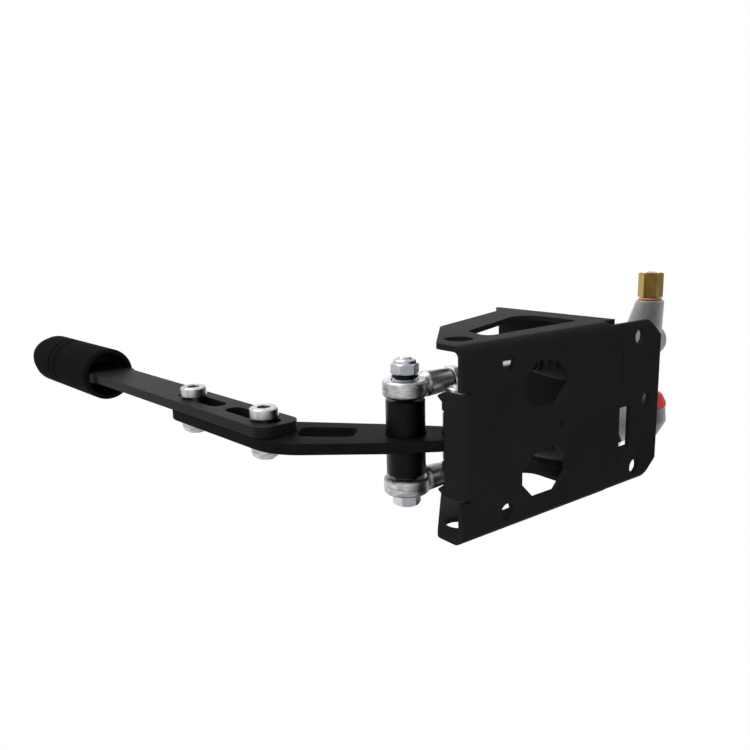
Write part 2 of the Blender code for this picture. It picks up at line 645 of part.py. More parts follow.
def lever_bar():
    """Cranked flat bar from the pivot up to the handle joint."""
    lean = math.tan(HANDLE_LEAN)
    clamp_x, clamp_z = CLAMP_POINT
    half = BAR_WIDTH / 2 / math.cos(HANDLE_LEAN)

    def edge(z, sign):
        return clamp_x - (z - clamp_z) * lean + sign * half

    top = (clamp_x - CLAMP_PITCH * math.sin(HANDLE_LEAN), clamp_z + CLAMP_PITCH * math.cos(HANDLE_LEAN))
    end = BAR_WIDTH / 2
    outline = [Vector((BAR_END_RADIUS * math.cos(RAD(a)), BAR_END_RADIUS * math.sin(RAD(a))))
               for a in range(-126, 43, 14)]
    far = rounded([(*outline[-1], 0), (*BAR_BELLY, 60 * MM), (edge(BAR_ELBOW_FAR, 1), BAR_ELBOW_FAR, 14 * MM),
                   (edge(top[1], 1), top[1], 0)])[1:-1]
    crown = [Vector(top) + Vector((end * math.cos(HANDLE_LEAN + RAD(a)),
                                   end * math.sin(HANDLE_LEAN + RAD(a))))
             for a in range(0, 181, 20)]
    near = rounded([(edge(top[1], -1), top[1], 0), (edge(BAR_ELBOW_NEAR, -1), BAR_ELBOW_NEAR, 36 * MM),
                    (*BAR_HEEL, 60 * MM), (*outline[0], 0)])[1:-1]
    outline += far + crown + near
    holes = [circle(SLEEVE_RADIUS + GAP), circle(TUBE_RADIUS + GAP, CROSS_POINT),
             circle(M10 + HOLE_PLAY, CLAMP_POINT, SMALL), circle(M10 + HOLE_PLAY, top, SMALL)]
    slope = RAD(135)
    ahead, across = Vector((math.cos(slope), math.sin(slope))), Vector((math.sin(slope), -math.cos(slope)))
    pocket = rounded([(0, -POCKET_WIDTH / 2 - 1.6 * MM, 5 * MM), (POCKET_LENGTH, -POCKET_WIDTH / 2 - 1.6 * MM,
                                                                  5 * MM),
                      (POCKET_LENGTH, POCKET_WIDTH / 2 - 1.6 * MM, 5 * MM), (0, POCKET_WIDTH / 2 - 1.6 * MM,
                                                                             5 * MM)])
    holes.append([ahead * (POCKET_START + point[0]) + across * point[1] for point in pocket])
    low = BAR_SIDE - BAR_THICK / 2
    finish("lever_bar", slab([outline] + holes, low, low + BAR_THICK, to_xz), BLACK_BAR, lever)


def pivot_bearing():
    """Welded sleeve with a collared bush pressed into each end."""
    half = LUG_INSIDE - 2 * GAP - BUSH_COLLAR_THICK
    finish("pivot_sleeve", ring(BUSH_RADIUS + GAP, SLEEVE_RADIUS, -half, half, "Y"), BLACK_BAR, lever)
    for name, sign in (("lower", 1), ("upper", -1)):
        seat, face, inside = sign * (half + GAP), sign * (half + GAP + BUSH_COLLAR_THICK), sign * 2.0 * MM
        bush = turned([(inside, M8 + HOLE_PLAY), (inside, BUSH_RADIUS), (seat, BUSH_RADIUS),
                       (seat, BUSH_COLLAR), (face, BUSH_COLLAR), (face, M8 + HOLE_PLAY)], "Y", SMALL, True)
        finish("pivot_bush_" + name, bush, BRONZE, lever)


lever_bar()
pivot_bearing()

cross = empty("cross_bolt_axis", (CROSS_POINT[0], 0, CROSS_POINT[1]), lever)


def cross_bolt_group():
    """Tube through the lever bar, with a long bolt that carries a ball at each end."""
    finish("cross_tube", ring(TUBE_BORE, TUBE_RADIUS, -TUBE_HALF, TUBE_HALF, "Y", 0.6 * MM), BLACK_BAR, cross)
    outside = BALL_Y + BALL_WIDTH / 2 + GAP
    bolt = finish("cross_bolt", along(hex_solid(M8_FLATS, outside, outside + M8_HEAD, 0, (False, True)), "Y"),
                  ZINC, cross)
    washer_out = -outside - WASHER_THICK
    nut_face = washer_out - GAP
    tail = nut_face - M8_LOCKNUT - 1.0 * MM
    join(bolt, finish("cross_shank", rod(M8 - GAP / 3, tail, outside + M8_HEAD / 2, "Y", SMALL),
                      parent=cross))
    finish("cross_washer", ring(M8 + GAP, WASHER_RADIUS, washer_out, -outside, "Y"), ZINC, cross)
    finish("cross_nut", along(hex_solid(M8_FLATS, nut_face - M8_LOCKNUT, nut_face, M8 + GAP / 3), "Y"), ZINC,
           cross)
    for side, y in (("upper", -BALL_Y), ("lower", BALL_Y)):
        half = BALL_WIDTH / 2
        profile = [(-half, M8 + GAP)]
        for k in range(7):
            level = -half + BALL_WIDTH * k / 6
            profile.append((level, math.sqrt(BALL_RADIUS ** 2 - level ** 2)))
        profile.append((half, M8 + GAP))
        finish("rod_end_ball_" + side, turned(profile, "Y", ROUND, True), STEEL, cross, (0, y, 0))


cross_bolt_group()

handle = empty("handle_axis", (CLAMP_POINT[0], 0, CLAMP_POINT[1]), lever)
handle.rotation_euler = (0, -HANDLE_LEAN, 0)


def handle_bar():
    """Straight flat bar, slotted for height, with small stops below the grip."""
    half, stop = BAR_WIDTH / 2, BAR_WIDTH / 2 + STOP_HEIGHT
    right = [(half, -HANDLE_FOOT, HANDLE_CORNER), (half, STOP_START, 0), (stop, STOP_START + 1 * MM, 0),
             (stop, STOP_START + STOP_LENGTH, 0), (half, STOP_START + STOP_LENGTH, 0), (half, HANDLE_REACH,
                                                                                        2 * MM)]
    outline = rounded(right + [(-x, z, r) for x, z, r in reversed(right)])
    width = 2 * (M10 + HOLE_PLAY)
    holes = [slot(SLOT_LENGTH, width, SLOT_LOWER), slot(SLOT_LENGTH, width, SLOT_UPPER)]
    finish("handle_bar", slab([outline] + holes, HANDLE_Y - BAR_THICK / 2, HANDLE_Y + BAR_THICK / 2, to_xz),
           BLACK_BAR, handle)


def clamp_fasteners():
    """Two low-head socket screws with nuts, which clamp the two bars."""
    head_face = HANDLE_Y - BAR_THICK / 2 - GAP
    nut_face = BAR_SIDE + BAR_THICK / 2 + GAP
    top = head_face - CLAMP_HEAD
    c = 0.8 * MM
    for name, z in (("lower", 0.0), ("upper", CLAMP_PITCH)):
        profile = [(top, 0), (top, CLAMP_HEAD_RADIUS - c), (top + c, CLAMP_HEAD_RADIUS), (head_face - c,
                                                                                          CLAMP_HEAD_RADIUS),
                   (head_face, CLAMP_HEAD_RADIUS - c), (head_face, M10 - GAP / 3),
                   (nut_face + M10_NUT + 1 * MM, M10 - GAP / 3), (nut_face + M10_NUT + 1 * MM, 0)]
        screw = finish("clamp_screw_" + name, turned(profile, "Y"), ZINC, handle, (0, 0, z))
        socket = slab([hexagon(CLAMP_SOCKET)], top - CUT, top + 4 * MM, to_xz)
        cut(screw, finish("socket_" + name, socket, parent=handle, location=(0, 0, z)))
        nut = along(hex_solid(M10_FLATS, nut_face, nut_face + M10_NUT, M10 + GAP / 3), "Y")
        finish("clamp_nut_" + name, nut, ZINC, handle, (0, 0, z))


def grip():
    """Foam sleeve with an open mouth, on a core that holds the end of the bar."""
    end = GRIP_START + GRIP_LENGTH
    inner = GRIP_RADIUS - GRIP_WALL
    depth = end - GRIP_CAP
    profile = [(depth, 0), (depth, inner), (GRIP_START, inner), (GRIP_START, GRIP_RADIUS - 2 * MM),
               (GRIP_START + 0.7 * MM, GRIP_RADIUS - 0.7 * MM), (GRIP_START + 2 * MM, GRIP_RADIUS)]
    for middle in (end - GROOVES[1], end - GROOVES[0]):
        profile += [(middle - 1.5 * MM, GRIP_RADIUS), (middle - 0.8 * MM, GRIP_RADIUS - GROOVE_DEPTH),
                    (middle + 0.8 * MM, GRIP_RADIUS - GROOVE_DEPTH), (middle + 1.5 * MM, GRIP_RADIUS)]
    profile += [(end - GRIP_CHAMFER, GRIP_RADIUS), (end - 0.45 * GRIP_CHAMFER, GRIP_RADIUS - 2.8 * MM),
                (end - 0.1 * GRIP_CHAMFER, GRIP_RADIUS - 5.2 * MM), (end, GRIP_RADIUS - 7.5 * MM), (end, 0)]
    finish("grip_sleeve", turned(profile, "Z", FINE), FOAM, handle, (0, HANDLE_Y, 0))
    core = finish("grip_core", rod(inner - GAP, GRIP_START + CORE_START, depth - GAP, steps=FINE), PLASTIC,
                  handle,
                  (0, HANDLE_Y, 0))
    wide, thick = BAR_WIDTH / 2 + GAP, BAR_THICK / 2 + GAP
    socket = [(-wide, -thick), (wide, -thick), (wide, thick), (-wide, thick)]
    cut(core, finish("core_socket", slab([socket], GRIP_START, HANDLE_REACH + GAP), parent=handle,
                     location=(0, HANDLE_Y, 0)))


handle_bar()
clamp_fasteners()
grip()


def pushrod_group(side, y):
    """Rod end, jam nut and pushrod, which swing together on one ball."""
    swing = empty("pushrod_axis_" + side, (0, y, 0), cross)
    half = ROD_END_WIDTH / 2
    body = finish("rod_end_" + side, turned([(-half, 0), (-half, ROD_END_RADIUS - 1.2 * MM),
                  (-half + 1.2 * MM, ROD_END_RADIUS), (half - 1.2 * MM, ROD_END_RADIUS),
                  (half, ROD_END_RADIUS - 1.2 * MM), (half, 0)], "Y"), CAST, swing)
    shank = turned([(3 * MM, 0), (3 * MM, half - 0.3 * MM), (WASHER_RADIUS + 1 * MM, half - 0.1 * MM),
                    (WASHER_RADIUS + 5.5 * MM, SHANK_ROOT), (SHANK_LENGTH - 1 * MM, SHANK_TIP),
                    (SHANK_LENGTH, SHANK_TIP - 1 * MM), (SHANK_LENGTH, 0)], "X")
    join(body, finish("shank_" + side, shank, parent=swing))
    race = []
    for k in range(7):
        level = -half - GAP + (ROD_END_WIDTH + 2 * GAP) * k / 6
        race.append((level, math.sqrt((BALL_RADIUS + GAP) ** 2 - level ** 2)))
    race = [(race[0][0] - CUT, 0), (race[0][0] - CUT, race[0][1])] + race
    race += [(race[-1][0] + CUT, race[-1][1]), (race[-1][0] + CUT, 0)]
    cut(body, finish("race_" + side, turned(race, "Y"), parent=swing),
        finish("rod_hole_" + side, rod(ROD_RADIUS + GAP, ROD_START - GAP, SHANK_LENGTH + CUT, "X", SMALL),
               parent=swing))
    nut_face = SHANK_LENGTH + GAP
    finish("jam_nut_" + side, along(hex_solid(M8_FLATS, nut_face, nut_face + M8_NUT, ROD_RADIUS + GAP), "X"),
           ZINC, swing)
    tip = TIP_X - BALL_X
    straight = tip - 11 * MM
    profile = [(ROD_START, 0), (ROD_START, ROD_RADIUS), (straight, ROD_RADIUS), (straight + 1 * MM,
                                                                                 ROD_TIP_RADIUS)]
    for k in range(5):
        angle = math.pi / 2 * k / 4
        profile.append((tip - ROD_TIP_RADIUS + ROD_TIP_RADIUS * math.sin(angle),
                        ROD_TIP_RADIUS * math.cos(angle)))
    finish("pushrod_" + side, turned(profile, "X", SMALL), ZINC, swing)


def space_circle(radius, centre, axis, steps=ROUND):
    """A circle in space about the X or the Y axis."""
    x, y, z = centre
    if axis == "X":
        return [(x, y + radius * math.cos(2 * math.pi * k / steps),
                 z + radius * math.sin(2 * math.pi * k / steps))
                for k in range(steps)]
    return [(x + radius * math.cos(2 * math.pi * k / steps), y,
             z + radius * math.sin(2 * math.pi * k / steps))
            for k in range(steps)]


def casting(side, y):
    """What both cylinder castings share: nose, mounting flange, barrel, bore and bolt holes."""
    place = empty("cylinder_" + side, (0, y, CYLINDER_HEIGHT), bracket)
    body = finish("cylinder_body_" + side, slab([oval(FLANGE_HUB, FLANGE_EAR, FLANGE_BOLT_PITCH / 2)],
                  FLANGE_X, FLANGE_BACK, to_yz), CAST, place)
    end = BARREL_END
    barrel = turned([(FLANGE_X - NOSE_LENGTH, 0), (FLANGE_X - NOSE_LENGTH, NOSE_RADIUS - 1 * MM),
                     (FLANGE_X - NOSE_LENGTH + 1 * MM, NOSE_RADIUS), (FLANGE_X + FLANGE_THICK / 2,
                                                                      NOSE_RADIUS),
                     (FLANGE_X + FLANGE_THICK / 2, BARREL_RADIUS), (end - 4 * MM, BARREL_RADIUS),
                     (end, BARREL_RADIUS - 3 * MM), (end, 0)], "X")
    join(body, finish("barrel_" + side, barrel, parent=place))
    return place, body, end


def bore_tools(side, place):
    """The stepped bore with its snap ring groove, and the two bolt holes."""
    front, r = FLANGE_X - NOSE_LENGTH - CUT, BORE_RADIUS
    groove = FLANGE_X + RING_AT
    profile = [(front, 0), (front, r), (groove, r), (groove, r + 1.2 * MM), (groove + RING_THICK + 2 * GAP,
                                                                             r + 1.2 * MM),
               (groove + RING_THICK + 2 * GAP, r), (FLANGE_X + BORE_LENGTH - 2 * MM,
                                                    r), (FLANGE_X + BORE_LENGTH, r - 2 * MM),
               (FLANGE_X + BORE_LENGTH, 0)]
    tools = [turned(profile, "X")]
    for z in (-FLANGE_BOLT_PITCH / 2, FLANGE_BOLT_PITCH / 2):
        tools.append(moved(rod(M8 + HOLE_PLAY, FLANGE_X - CUT, FLANGE_BACK + CUT, "X", SMALL), 0, 0, z))
    return finish("bore_" + side, merge(*tools), parent=place)


def upper_cylinder():
    """Casting with a leaning outlet boss towards -Y, near its rear end."""
    place, body, end = casting("upper", -BALL_Y)
    tail = turned([(end - 8 * MM, 0), (end - 8 * MM, BARREL_RADIUS - 3 * MM), (end + 2 * MM, TAIL_RADIUS),
                   (TAIL_END - 3 * MM, TAIL_RADIUS), (TAIL_END - 1 * MM, TAIL_RADIUS - 1.6 * MM),
                   (TAIL_END, TAIL_RADIUS - 4 * MM), (TAIL_END, 0)], "X")
    boss = loft([space_circle(BOSS_FOOT_RADIUS - 2 * MM, (BOSS_FOOT_X - 2 * MM, 0, 0), "Y"),
                 space_circle(BOSS_FOOT_RADIUS, (BOSS_FOOT_X, -TAIL_RADIUS + 2 * MM, 0), "Y"),
                 space_circle(BOSS_TOP_RADIUS, (PORT_X, -BOSS_HEIGHT + 1 * MM, 0), "Y"),
                 space_circle(BOSS_TOP_RADIUS - 0.8 * MM, (PORT_X, -BOSS_HEIGHT, 0), "Y")])
    join(body, finish("tail_upper", tail, parent=place), finish("boss_upper", boss, parent=place))
    port = turned([(-BOSS_HEIGHT - CUT, 0), (-BOSS_HEIGHT - CUT, THREAD_RADIUS + GAP),
                   (-BOSS_HEIGHT + 11 * MM, THREAD_RADIUS + GAP), (-BOSS_HEIGHT + 13 * MM, 2 * MM), (2 * MM,
                                                                                                     2 * MM),
                   (2 * MM, 0)], "Y", SMALL)
    cut(body, bore_tools("upper", place), finish("port_upper", moved(port, PORT_X), parent=place))

    washer_low = -BOSS_HEIGHT - GAP
    washer = ring(THREAD_RADIUS + GAP, COPPER_RADIUS, washer_low - COPPER_THICK, washer_low, "Y", 0.3 * MM)
    finish("outlet_washer", washer, COPPER, place, (PORT_X, 0, 0))
    seat = washer_low - COPPER_THICK - GAP
    fitting = finish("outlet_fitting", along(hex_solid(FITTING_FLATS, seat - FITTING_HEIGHT, seat, 0, (True,
                                                                                                       False)), "Y"),
                     BRASS, place, (PORT_X, 0, 0))
    join(fitting, finish("fitting_spigot", rod(THREAD_RADIUS, seat - 2 * MM, -BOSS_HEIGHT + 9 * MM, "Y",
                                               SMALL),
                         parent=place, location=(PORT_X, 0, 0)))
    cut(fitting, finish("fitting_bore", turned([(seat - FITTING_HEIGHT - CUT, 0),
                                                (seat - FITTING_HEIGHT - CUT, 4.2 * MM),
                        (seat - 5 * MM, 4.2 * MM), (seat - 3 * MM, 1.8 * MM), (-BOSS_HEIGHT + 9 * MM + CUT,
                                                                               1.8 * MM),
                        (-BOSS_HEIGHT + 9 * MM + CUT, 0)], "Y", SMALL), parent=place, location=(PORT_X, 0,
                                                                                                0)))


def lower_cylinder():
    """Casting with a rounded rear head, whose port is closed by a plastic cap towards -Y."""
    place, body, end = casting("lower", BALL_Y)
    neck = loft([space_circle(BARREL_RADIUS - 3 * MM, (end - 8 * MM, 0, 0), "X"),
                 space_circle(BARREL_RADIUS - 3 * MM, (end, 0, 0), "X"),
                 space_circle(7 * MM, (HEAD_X - HEAD_RADIUS, 4 * MM, 0), "X"),
                 space_circle(7 * MM, (HEAD_X - 6 * MM, 4 * MM, 0), "X")])
    head = turned([(-HEAD_TOP - 5.5 * MM, 0), (-HEAD_TOP - 5.5 * MM, 6.6 * MM), (-HEAD_TOP, 6.6 * MM),
                   (-HEAD_TOP, HEAD_RADIUS - 1 * MM), (HEAD_TOP, HEAD_RADIUS),
                   (HEAD_TOP + 2 * MM, HEAD_RADIUS - 0.8 * MM),
                   (HEAD_BOTTOM - 1 * MM, HEAD_RADIUS - 5.6 * MM), (HEAD_BOTTOM, HEAD_RADIUS - 7.4 * MM),
                   (HEAD_BOTTOM, 0)], "Y")
    join(body, finish("neck_lower", neck, parent=place),
         finish("head_lower", head, parent=place, location=(HEAD_X, 0, 0)))
    port = rod(THREAD_RADIUS, -HEAD_TOP - 5.5 * MM - CUT, HEAD_TOP, "Y", SMALL)
    cut(body, bore_tools("lower", place), finish("port_lower", port, parent=place, location=(HEAD_X, 0, 0)))

    seat = -HEAD_TOP - GAP
    top = seat - CAP_HEIGHT
    cap = turned([(seat - 5.5 * MM, 0), (seat - 5.5 * MM, 6.6 * MM + GAP), (seat, 6.6 * MM + GAP),
                  (seat, CAP_RADIUS), (seat - 2.6 * MM, CAP_RADIUS), (seat - 5 * MM, CAP_RADIUS - 1.2 * MM),
                  (top + 1.6 * MM, CAP_RADIUS - 2.8 * MM), (top + 0.4 * MM, CAP_RADIUS - 4.4 * MM), (top, CAP_RADIUS - 6.6 * MM), (top, 0)], "Y")
    finish("port_cap", cap, RED, place, (HEAD_X, 0, 0))


def cylinder_fasteners():
    """Bolts from the front of the wall, with nuts behind the mounting flanges."""
    head_face, nut_face = WALL_X - GAP, FLANGE_BACK + GAP
    tail = nut_face + M8_NUT + 1.5 * MM
    for side, y in (("upper", -BALL_Y), ("lower", BALL_Y)):
        for end, z in (("bottom", -FLANGE_BOLT_PITCH / 2), ("top", FLANGE_BOLT_PITCH / 2)):
            name, place = side + "_" + end, (0, y, CYLINDER_HEIGHT + z)
            head = along(hex_solid(M8_FLATS, head_face - M8_HEAD, head_face, 0, (True, False)), "X")
            bolt = finish("cylinder_bolt_" + name, head, ZINC, bracket, place)
            join(bolt, finish("bolt_shank_" + name, rod(M8 - GAP / 3, head_face - M8_HEAD / 2, tail, "X",
                                                        SMALL),
                              parent=bracket, location=place))
            nut = along(hex_solid(M8_FLATS, nut_face, nut_face + M8_NUT, M8 + GAP / 3), "X")
            finish("cylinder_nut_" + name, nut, ZINC, bracket, place)


def snap_ring(side, y):
    """Open ring in the groove of the bore, over a plain retaining washer."""
    outer, inner = BORE_RADIUS + 0.8 * MM, BORE_RADIUS - 1.0 * MM
    opening = 32
    outline = [Vector((outer * math.cos(RAD(a)), outer * math.sin(RAD(a))))
               for a in [opening + (360 - 2 * opening) * k / SMALL for k in range(SMALL + 1)]]
    outline += [Vector((inner * math.cos(RAD(a)), inner * math.sin(RAD(a))))
                for a in [360 - opening - (360 - 2 * opening) * k / SMALL for k in range(SMALL + 1)]]
    place = (0, y, CYLINDER_HEIGHT)
    finish("snap_ring_" + side, slab([outline], RING_LOW, RING_LOW + RING_THICK, to_yz), STEEL, bracket,
           place)
    washer = ring(ROD_RADIUS + 1.6 * MM, BORE_RADIUS - GAP, STOP_LOW, STOP_LOW + WASHER_THICK, "X",
                  steps=SMALL)
    finish("stop_washer_" + side, washer, ZINC, bracket, place)


def dust_boot(side, y):
    """Rubber bellows from the casting's nose down to the pushrod."""
    wall = 1.3 * MM
    start = WALL_X - 1.2 * MM
    big = NOSE_RADIUS + GAP
    collar = 6.0 * MM
    outside = [(start, big + wall), (start - collar, big + wall)]
    inside = [(start - collar, big), (start, big)]
    front = start - collar - 0.5 * MM
    pitch, small = 5.2 * MM, ROD_RADIUS + GAP
    lift = (big - 1.5 * MM - small) / BOOT_FOLDS
    crests = []
    for k in range(BOOT_FOLDS):
        crest = big - 1.0 * MM - lift * k
        crests += [(front - pitch * (k + 0.15), crest - 3.4 * MM), (front - pitch * (k + 0.6), crest)]
    end = front - pitch * BOOT_FOLDS
    outside += [(x, max(r + wall, small + wall)) for x, r in crests]
    outside += [(end, small + wall), (end - 4 * MM, small + wall), (end - 4 * MM, small)]
    inside = [(end, small)] + [(x, max(r, small)) for x, r in reversed(crests)] + inside
    finish("dust_boot_" + side, turned(outside + inside, "X", ROUND, True), RUBBER, bracket, (0, y,
                                                                                              CYLINDER_HEIGHT))


def piston_group(side, y):
    """Piston with its two seals, and the return spring behind it."""
    axis = empty("piston_axis_" + side, (PISTON_X, y, CYLINDER_HEIGHT), bracket)
    length, r = PISTON_LENGTH, PISTON_RADIUS
    neck = SEAL_GROOVE
    profile = [(SOCKET_DEPTH, 0), (SOCKET_DEPTH - 1.6 * MM, SOCKET_RADIUS - 0.8 * MM), (0, SOCKET_RADIUS), (0,
                                                                                                            r - 0.6 * MM),
               (0.6 * MM, r), (8 * MM, r), (8 * MM, neck), (12 * MM, neck), (12 * MM, r), (length, r),
               (length, STEM_RADIUS), (length + STEM_LENGTH, STEM_RADIUS), (length + STEM_LENGTH, 0)]
    finish("piston_" + side, turned(profile, "X", SMALL), STEEL, axis)
    finish("piston_ring_" + side, ring(neck + GAP, r, 8 * MM + GAP, 12 * MM - GAP, "X", 0.4 * MM, SMALL),
           RUBBER, axis)
    cup = length + GAP
    finish("piston_cup_" + side, turned([(cup, STEM_RADIUS + GAP), (cup, r - 0.5 * MM), (cup + 1 * MM, r),
           (cup + CUP_LENGTH, r), (cup + CUP_LENGTH, r - 1.4 * MM), (cup + 2 * MM, r - 2.2 * MM),
           (cup + 2 * MM, STEM_RADIUS + GAP)], "X", SMALL, True), RUBBER, axis)
    low = PISTON_X + cup + 2 * MM + GAP + SPRING_WIRE
    high = FLANGE_X + BORE_LENGTH - 2 * GAP - SPRING_WIRE - 0.4 * MM
    sides = 4
    per_turn = 10
    count = SPRING_TURNS * per_turn
    coil_radius = SPRING_RADIUS - 0.9 * MM
    rings = []
    for k in range(count + 1):
        t = k / count
        angle = 2 * math.pi * SPRING_TURNS * t
        middle = Vector((low + (high - low) * t, coil_radius * math.cos(angle),
                         coil_radius * math.sin(angle)))
        outward = Vector((0, math.cos(angle), math.sin(angle)))
        rings.append([middle + SPRING_WIRE * (outward * math.cos(2 * math.pi * j / sides)
                      + Vector((1, 0, 0)) * math.sin(2 * math.pi * j / sides)) for j in range(sides)])
    finish("return_spring_" + side, loft(rings), STEEL, bracket, (0, y, CYLINDER_HEIGHT))


for side_name, side_y in (("upper", -BALL_Y), ("lower", BALL_Y)):
    pushrod_group(side_name, side_y)
    snap_ring(side_name, side_y)
    dust_boot(side_name, side_y)
    piston_group(side_name, side_y)
upper_cylinder()
lower_cylinder()
cylinder_fasteners()
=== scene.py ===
"""Looks for the parking brake lever: fine surfaces over the fixed frame, in metres, +Z up."""

import json
import math

import bmesh
import bpy
from mathutils import Matrix, Vector


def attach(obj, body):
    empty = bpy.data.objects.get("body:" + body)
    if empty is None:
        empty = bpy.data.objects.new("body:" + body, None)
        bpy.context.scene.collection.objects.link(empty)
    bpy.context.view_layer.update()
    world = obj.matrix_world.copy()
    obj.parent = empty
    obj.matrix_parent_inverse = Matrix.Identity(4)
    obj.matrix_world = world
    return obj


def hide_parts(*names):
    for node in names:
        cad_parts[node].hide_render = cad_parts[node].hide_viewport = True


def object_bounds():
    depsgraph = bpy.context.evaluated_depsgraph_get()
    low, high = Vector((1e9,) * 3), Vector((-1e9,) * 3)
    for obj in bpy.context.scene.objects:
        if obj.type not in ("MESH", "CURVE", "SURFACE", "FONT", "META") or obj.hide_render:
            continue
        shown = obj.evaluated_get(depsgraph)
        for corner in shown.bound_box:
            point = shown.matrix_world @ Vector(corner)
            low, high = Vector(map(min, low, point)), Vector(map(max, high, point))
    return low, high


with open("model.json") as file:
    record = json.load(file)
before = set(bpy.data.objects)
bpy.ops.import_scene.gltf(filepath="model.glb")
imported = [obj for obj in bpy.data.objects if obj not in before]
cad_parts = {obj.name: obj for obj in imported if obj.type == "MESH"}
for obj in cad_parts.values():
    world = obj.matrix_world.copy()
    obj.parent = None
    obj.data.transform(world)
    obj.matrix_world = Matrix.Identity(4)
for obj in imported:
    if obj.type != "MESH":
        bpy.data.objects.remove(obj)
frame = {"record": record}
cad_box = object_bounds()

MM = 0.001
RAD = math.radians

# Fits
GAP = 0.3 * MM                   # between pieces that touch
CUT = 2.0 * MM                   # how far a cutter runs past the face it opens

# Base bracket, folded from one sheet
SHEET = 3.0 * MM
BEND = 3.0 * MM                  # inner radius of every fold
PLATE_FRONT = 88.2 * MM          # from the origin to the front fold
PLATE_REAR = 77.8 * MM           # from the origin to the rear edge
BRACKET_WIDTH = 102.0 * MM       # over the two side flanges
REAR_WIDTH = 98.0 * MM           # of the bare plate behind the flanges
REAR_CHAMFER = (12.0 * MM, 10.0 * MM)
HOLE_PITCH_LONG = 111.7 * MM
HOLE_PITCH_WIDE = 80.0 * MM
MOUNT_HOLE = 9.0 * MM
REAR_HOLE_X = 65.4 * MM
PILOT_HOLE = 3.2 * MM
PILOT_HOLE_X = -13.4 * MM
FLANGE_HEIGHT = 101.0 * MM
FLANGE_REAR = 42.0 * MM          # rear edge of the side flanges
FLANGE_RELIEF = 29.5 * MM        # where the fold stops before that edge
RELIEF_HEIGHT = 8.0 * MM
FLANGE_TOE = 18.6 * MM           # height of the flanges' front corner
FLANGE_KNEE = (-47.8 * MM, 60.3 * MM)
SLOPE_END = (14.1 * MM, 13.4 * MM)       # where the slope ends, from the top rear corner
SIDE_WINDOW_REAR = 18.8 * MM     # from the flanges' rear edge
SIDE_WINDOW_DROP = 36.0 * MM     # from their top
WINDOW_LENGTH = 36.8 * MM        # eight-sided openings in the plate
WINDOW_WIDTH = 26.0 * MM
WINDOW_CORNER = 9.5 * MM
WINDOW_X = -26.2 * MM
WINDOW_Y = 24.6 * MM
SLIT_BOX = (39.0 * MM, 49.8 * MM, 0.5 * MM, 25.6 * MM)
TAB_UPPER = (-34.0 * MM, -14.4 * MM)
TAB_LOWER = (27.0 * MM, 35.4 * MM)
FRONT_TAB_WIDTH = 54.0 * MM
FRONT_TAB_HEIGHT = 17.6 * MM
FRONT_REST_HEIGHT = 13.2 * MM    # the edge that the lever rests over
FRONT_REST_WIDTH = 42.0 * MM
ACCESS_HOLE = 15.0 * MM          # in each flange, in line with the pivot

# Rear wall, which carries the two cylinders
WALL_X = 37.5 * MM               # front face
WALL_TOP = 96.0 * MM

# Cylinders
CYLINDER_SPACING = 52.0 * MM
CYLINDER_HEIGHT = 38.0 * MM
FLANGE_THICK = 8.0 * MM
FLANGE_BOLT_PITCH = 44.0 * MM
FLANGE_HUB = 16.5 * MM           # radii of the oval mounting flange
FLANGE_EAR = 9.0 * MM
BARREL_RADIUS = 14.0 * MM
BARREL_LENGTH = 49.0 * MM        # behind the mounting flange
NOSE_RADIUS = 12.5 * MM
NOSE_LENGTH = 9.5 * MM
BORE_RADIUS = 8.0 * MM
BORE_LENGTH = 57.0 * MM          # from the flange face
PORT_OFFSET = 25.6 * MM          # port's axis behind the end of the barrel
TAIL_RADIUS = 10.6 * MM
TAIL_REACH = 8.6 * MM            # behind the port's axis
BOSS_FOOT_RADIUS = 12.0 * MM
BOSS_FOOT_OFFSET = 6.4 * MM      # the boss leans back from its foot to the port
BOSS_TOP_RADIUS = 9.2 * MM
BOSS_HEIGHT = 27.6 * MM          # above the cylinder's axis
HEAD_OFFSET = 31.2 * MM          # rear head of the capped cylinder, behind the barrel's end
HEAD_RADIUS = 11.6 * MM
HEAD_TOP = 5.0 * MM              # its seat above the cylinder's axis
HEAD_BOTTOM = 17.0 * MM
STUB_RADIUS = 6.6 * MM           # of the head's stub inside the cap
STUB_LENGTH = 5.5 * MM
NECK_RADIUS = 7.0 * MM           # between the barrel and the head
NECK_SHIFT = 4.0 * MM            # its end beside the cylinder's axis
CASTING_LAP = 8.0 * MM           # how far rear ends run into the barrel
CAP_RADIUS = 11.0 * MM
CAP_HEIGHT = 9.8 * MM

# Outlet fitting
THREAD_RADIUS = 5.0 * MM
FITTING_FLATS = 14.0 * MM
FITTING_HEIGHT = 16.6 * MM
FITTING_MOUTH = 4.2 * MM         # radii of its bore
FITTING_PASSAGE = 1.8 * MM
FITTING_REACH = 9.0 * MM         # of its spigot into the boss
PORT_DEPTH = 11.0 * MM
PORT_CONE_END = 13.0 * MM
PORT_PASSAGE = 2.0 * MM
COPPER_THICK = 1.4 * MM
COPPER_RADIUS = 7.8 * MM

# Pivot
PIVOT_X = -71.5 * MM
PIVOT_HEIGHT = 20.0 * MM
CRADLE_SHEET = 4.0 * MM
CRADLE_INSIDE = 28.0 * MM        # between the lugs
CRADLE_LENGTH = 24.0 * MM
LUG_RADIUS = 8.8 * MM
SLEEVE_RADIUS = 8.4 * MM
BUSH_RADIUS = 6.0 * MM
BUSH_COLLAR = 8.0 * MM
BUSH_COLLAR_THICK = 1.0 * MM

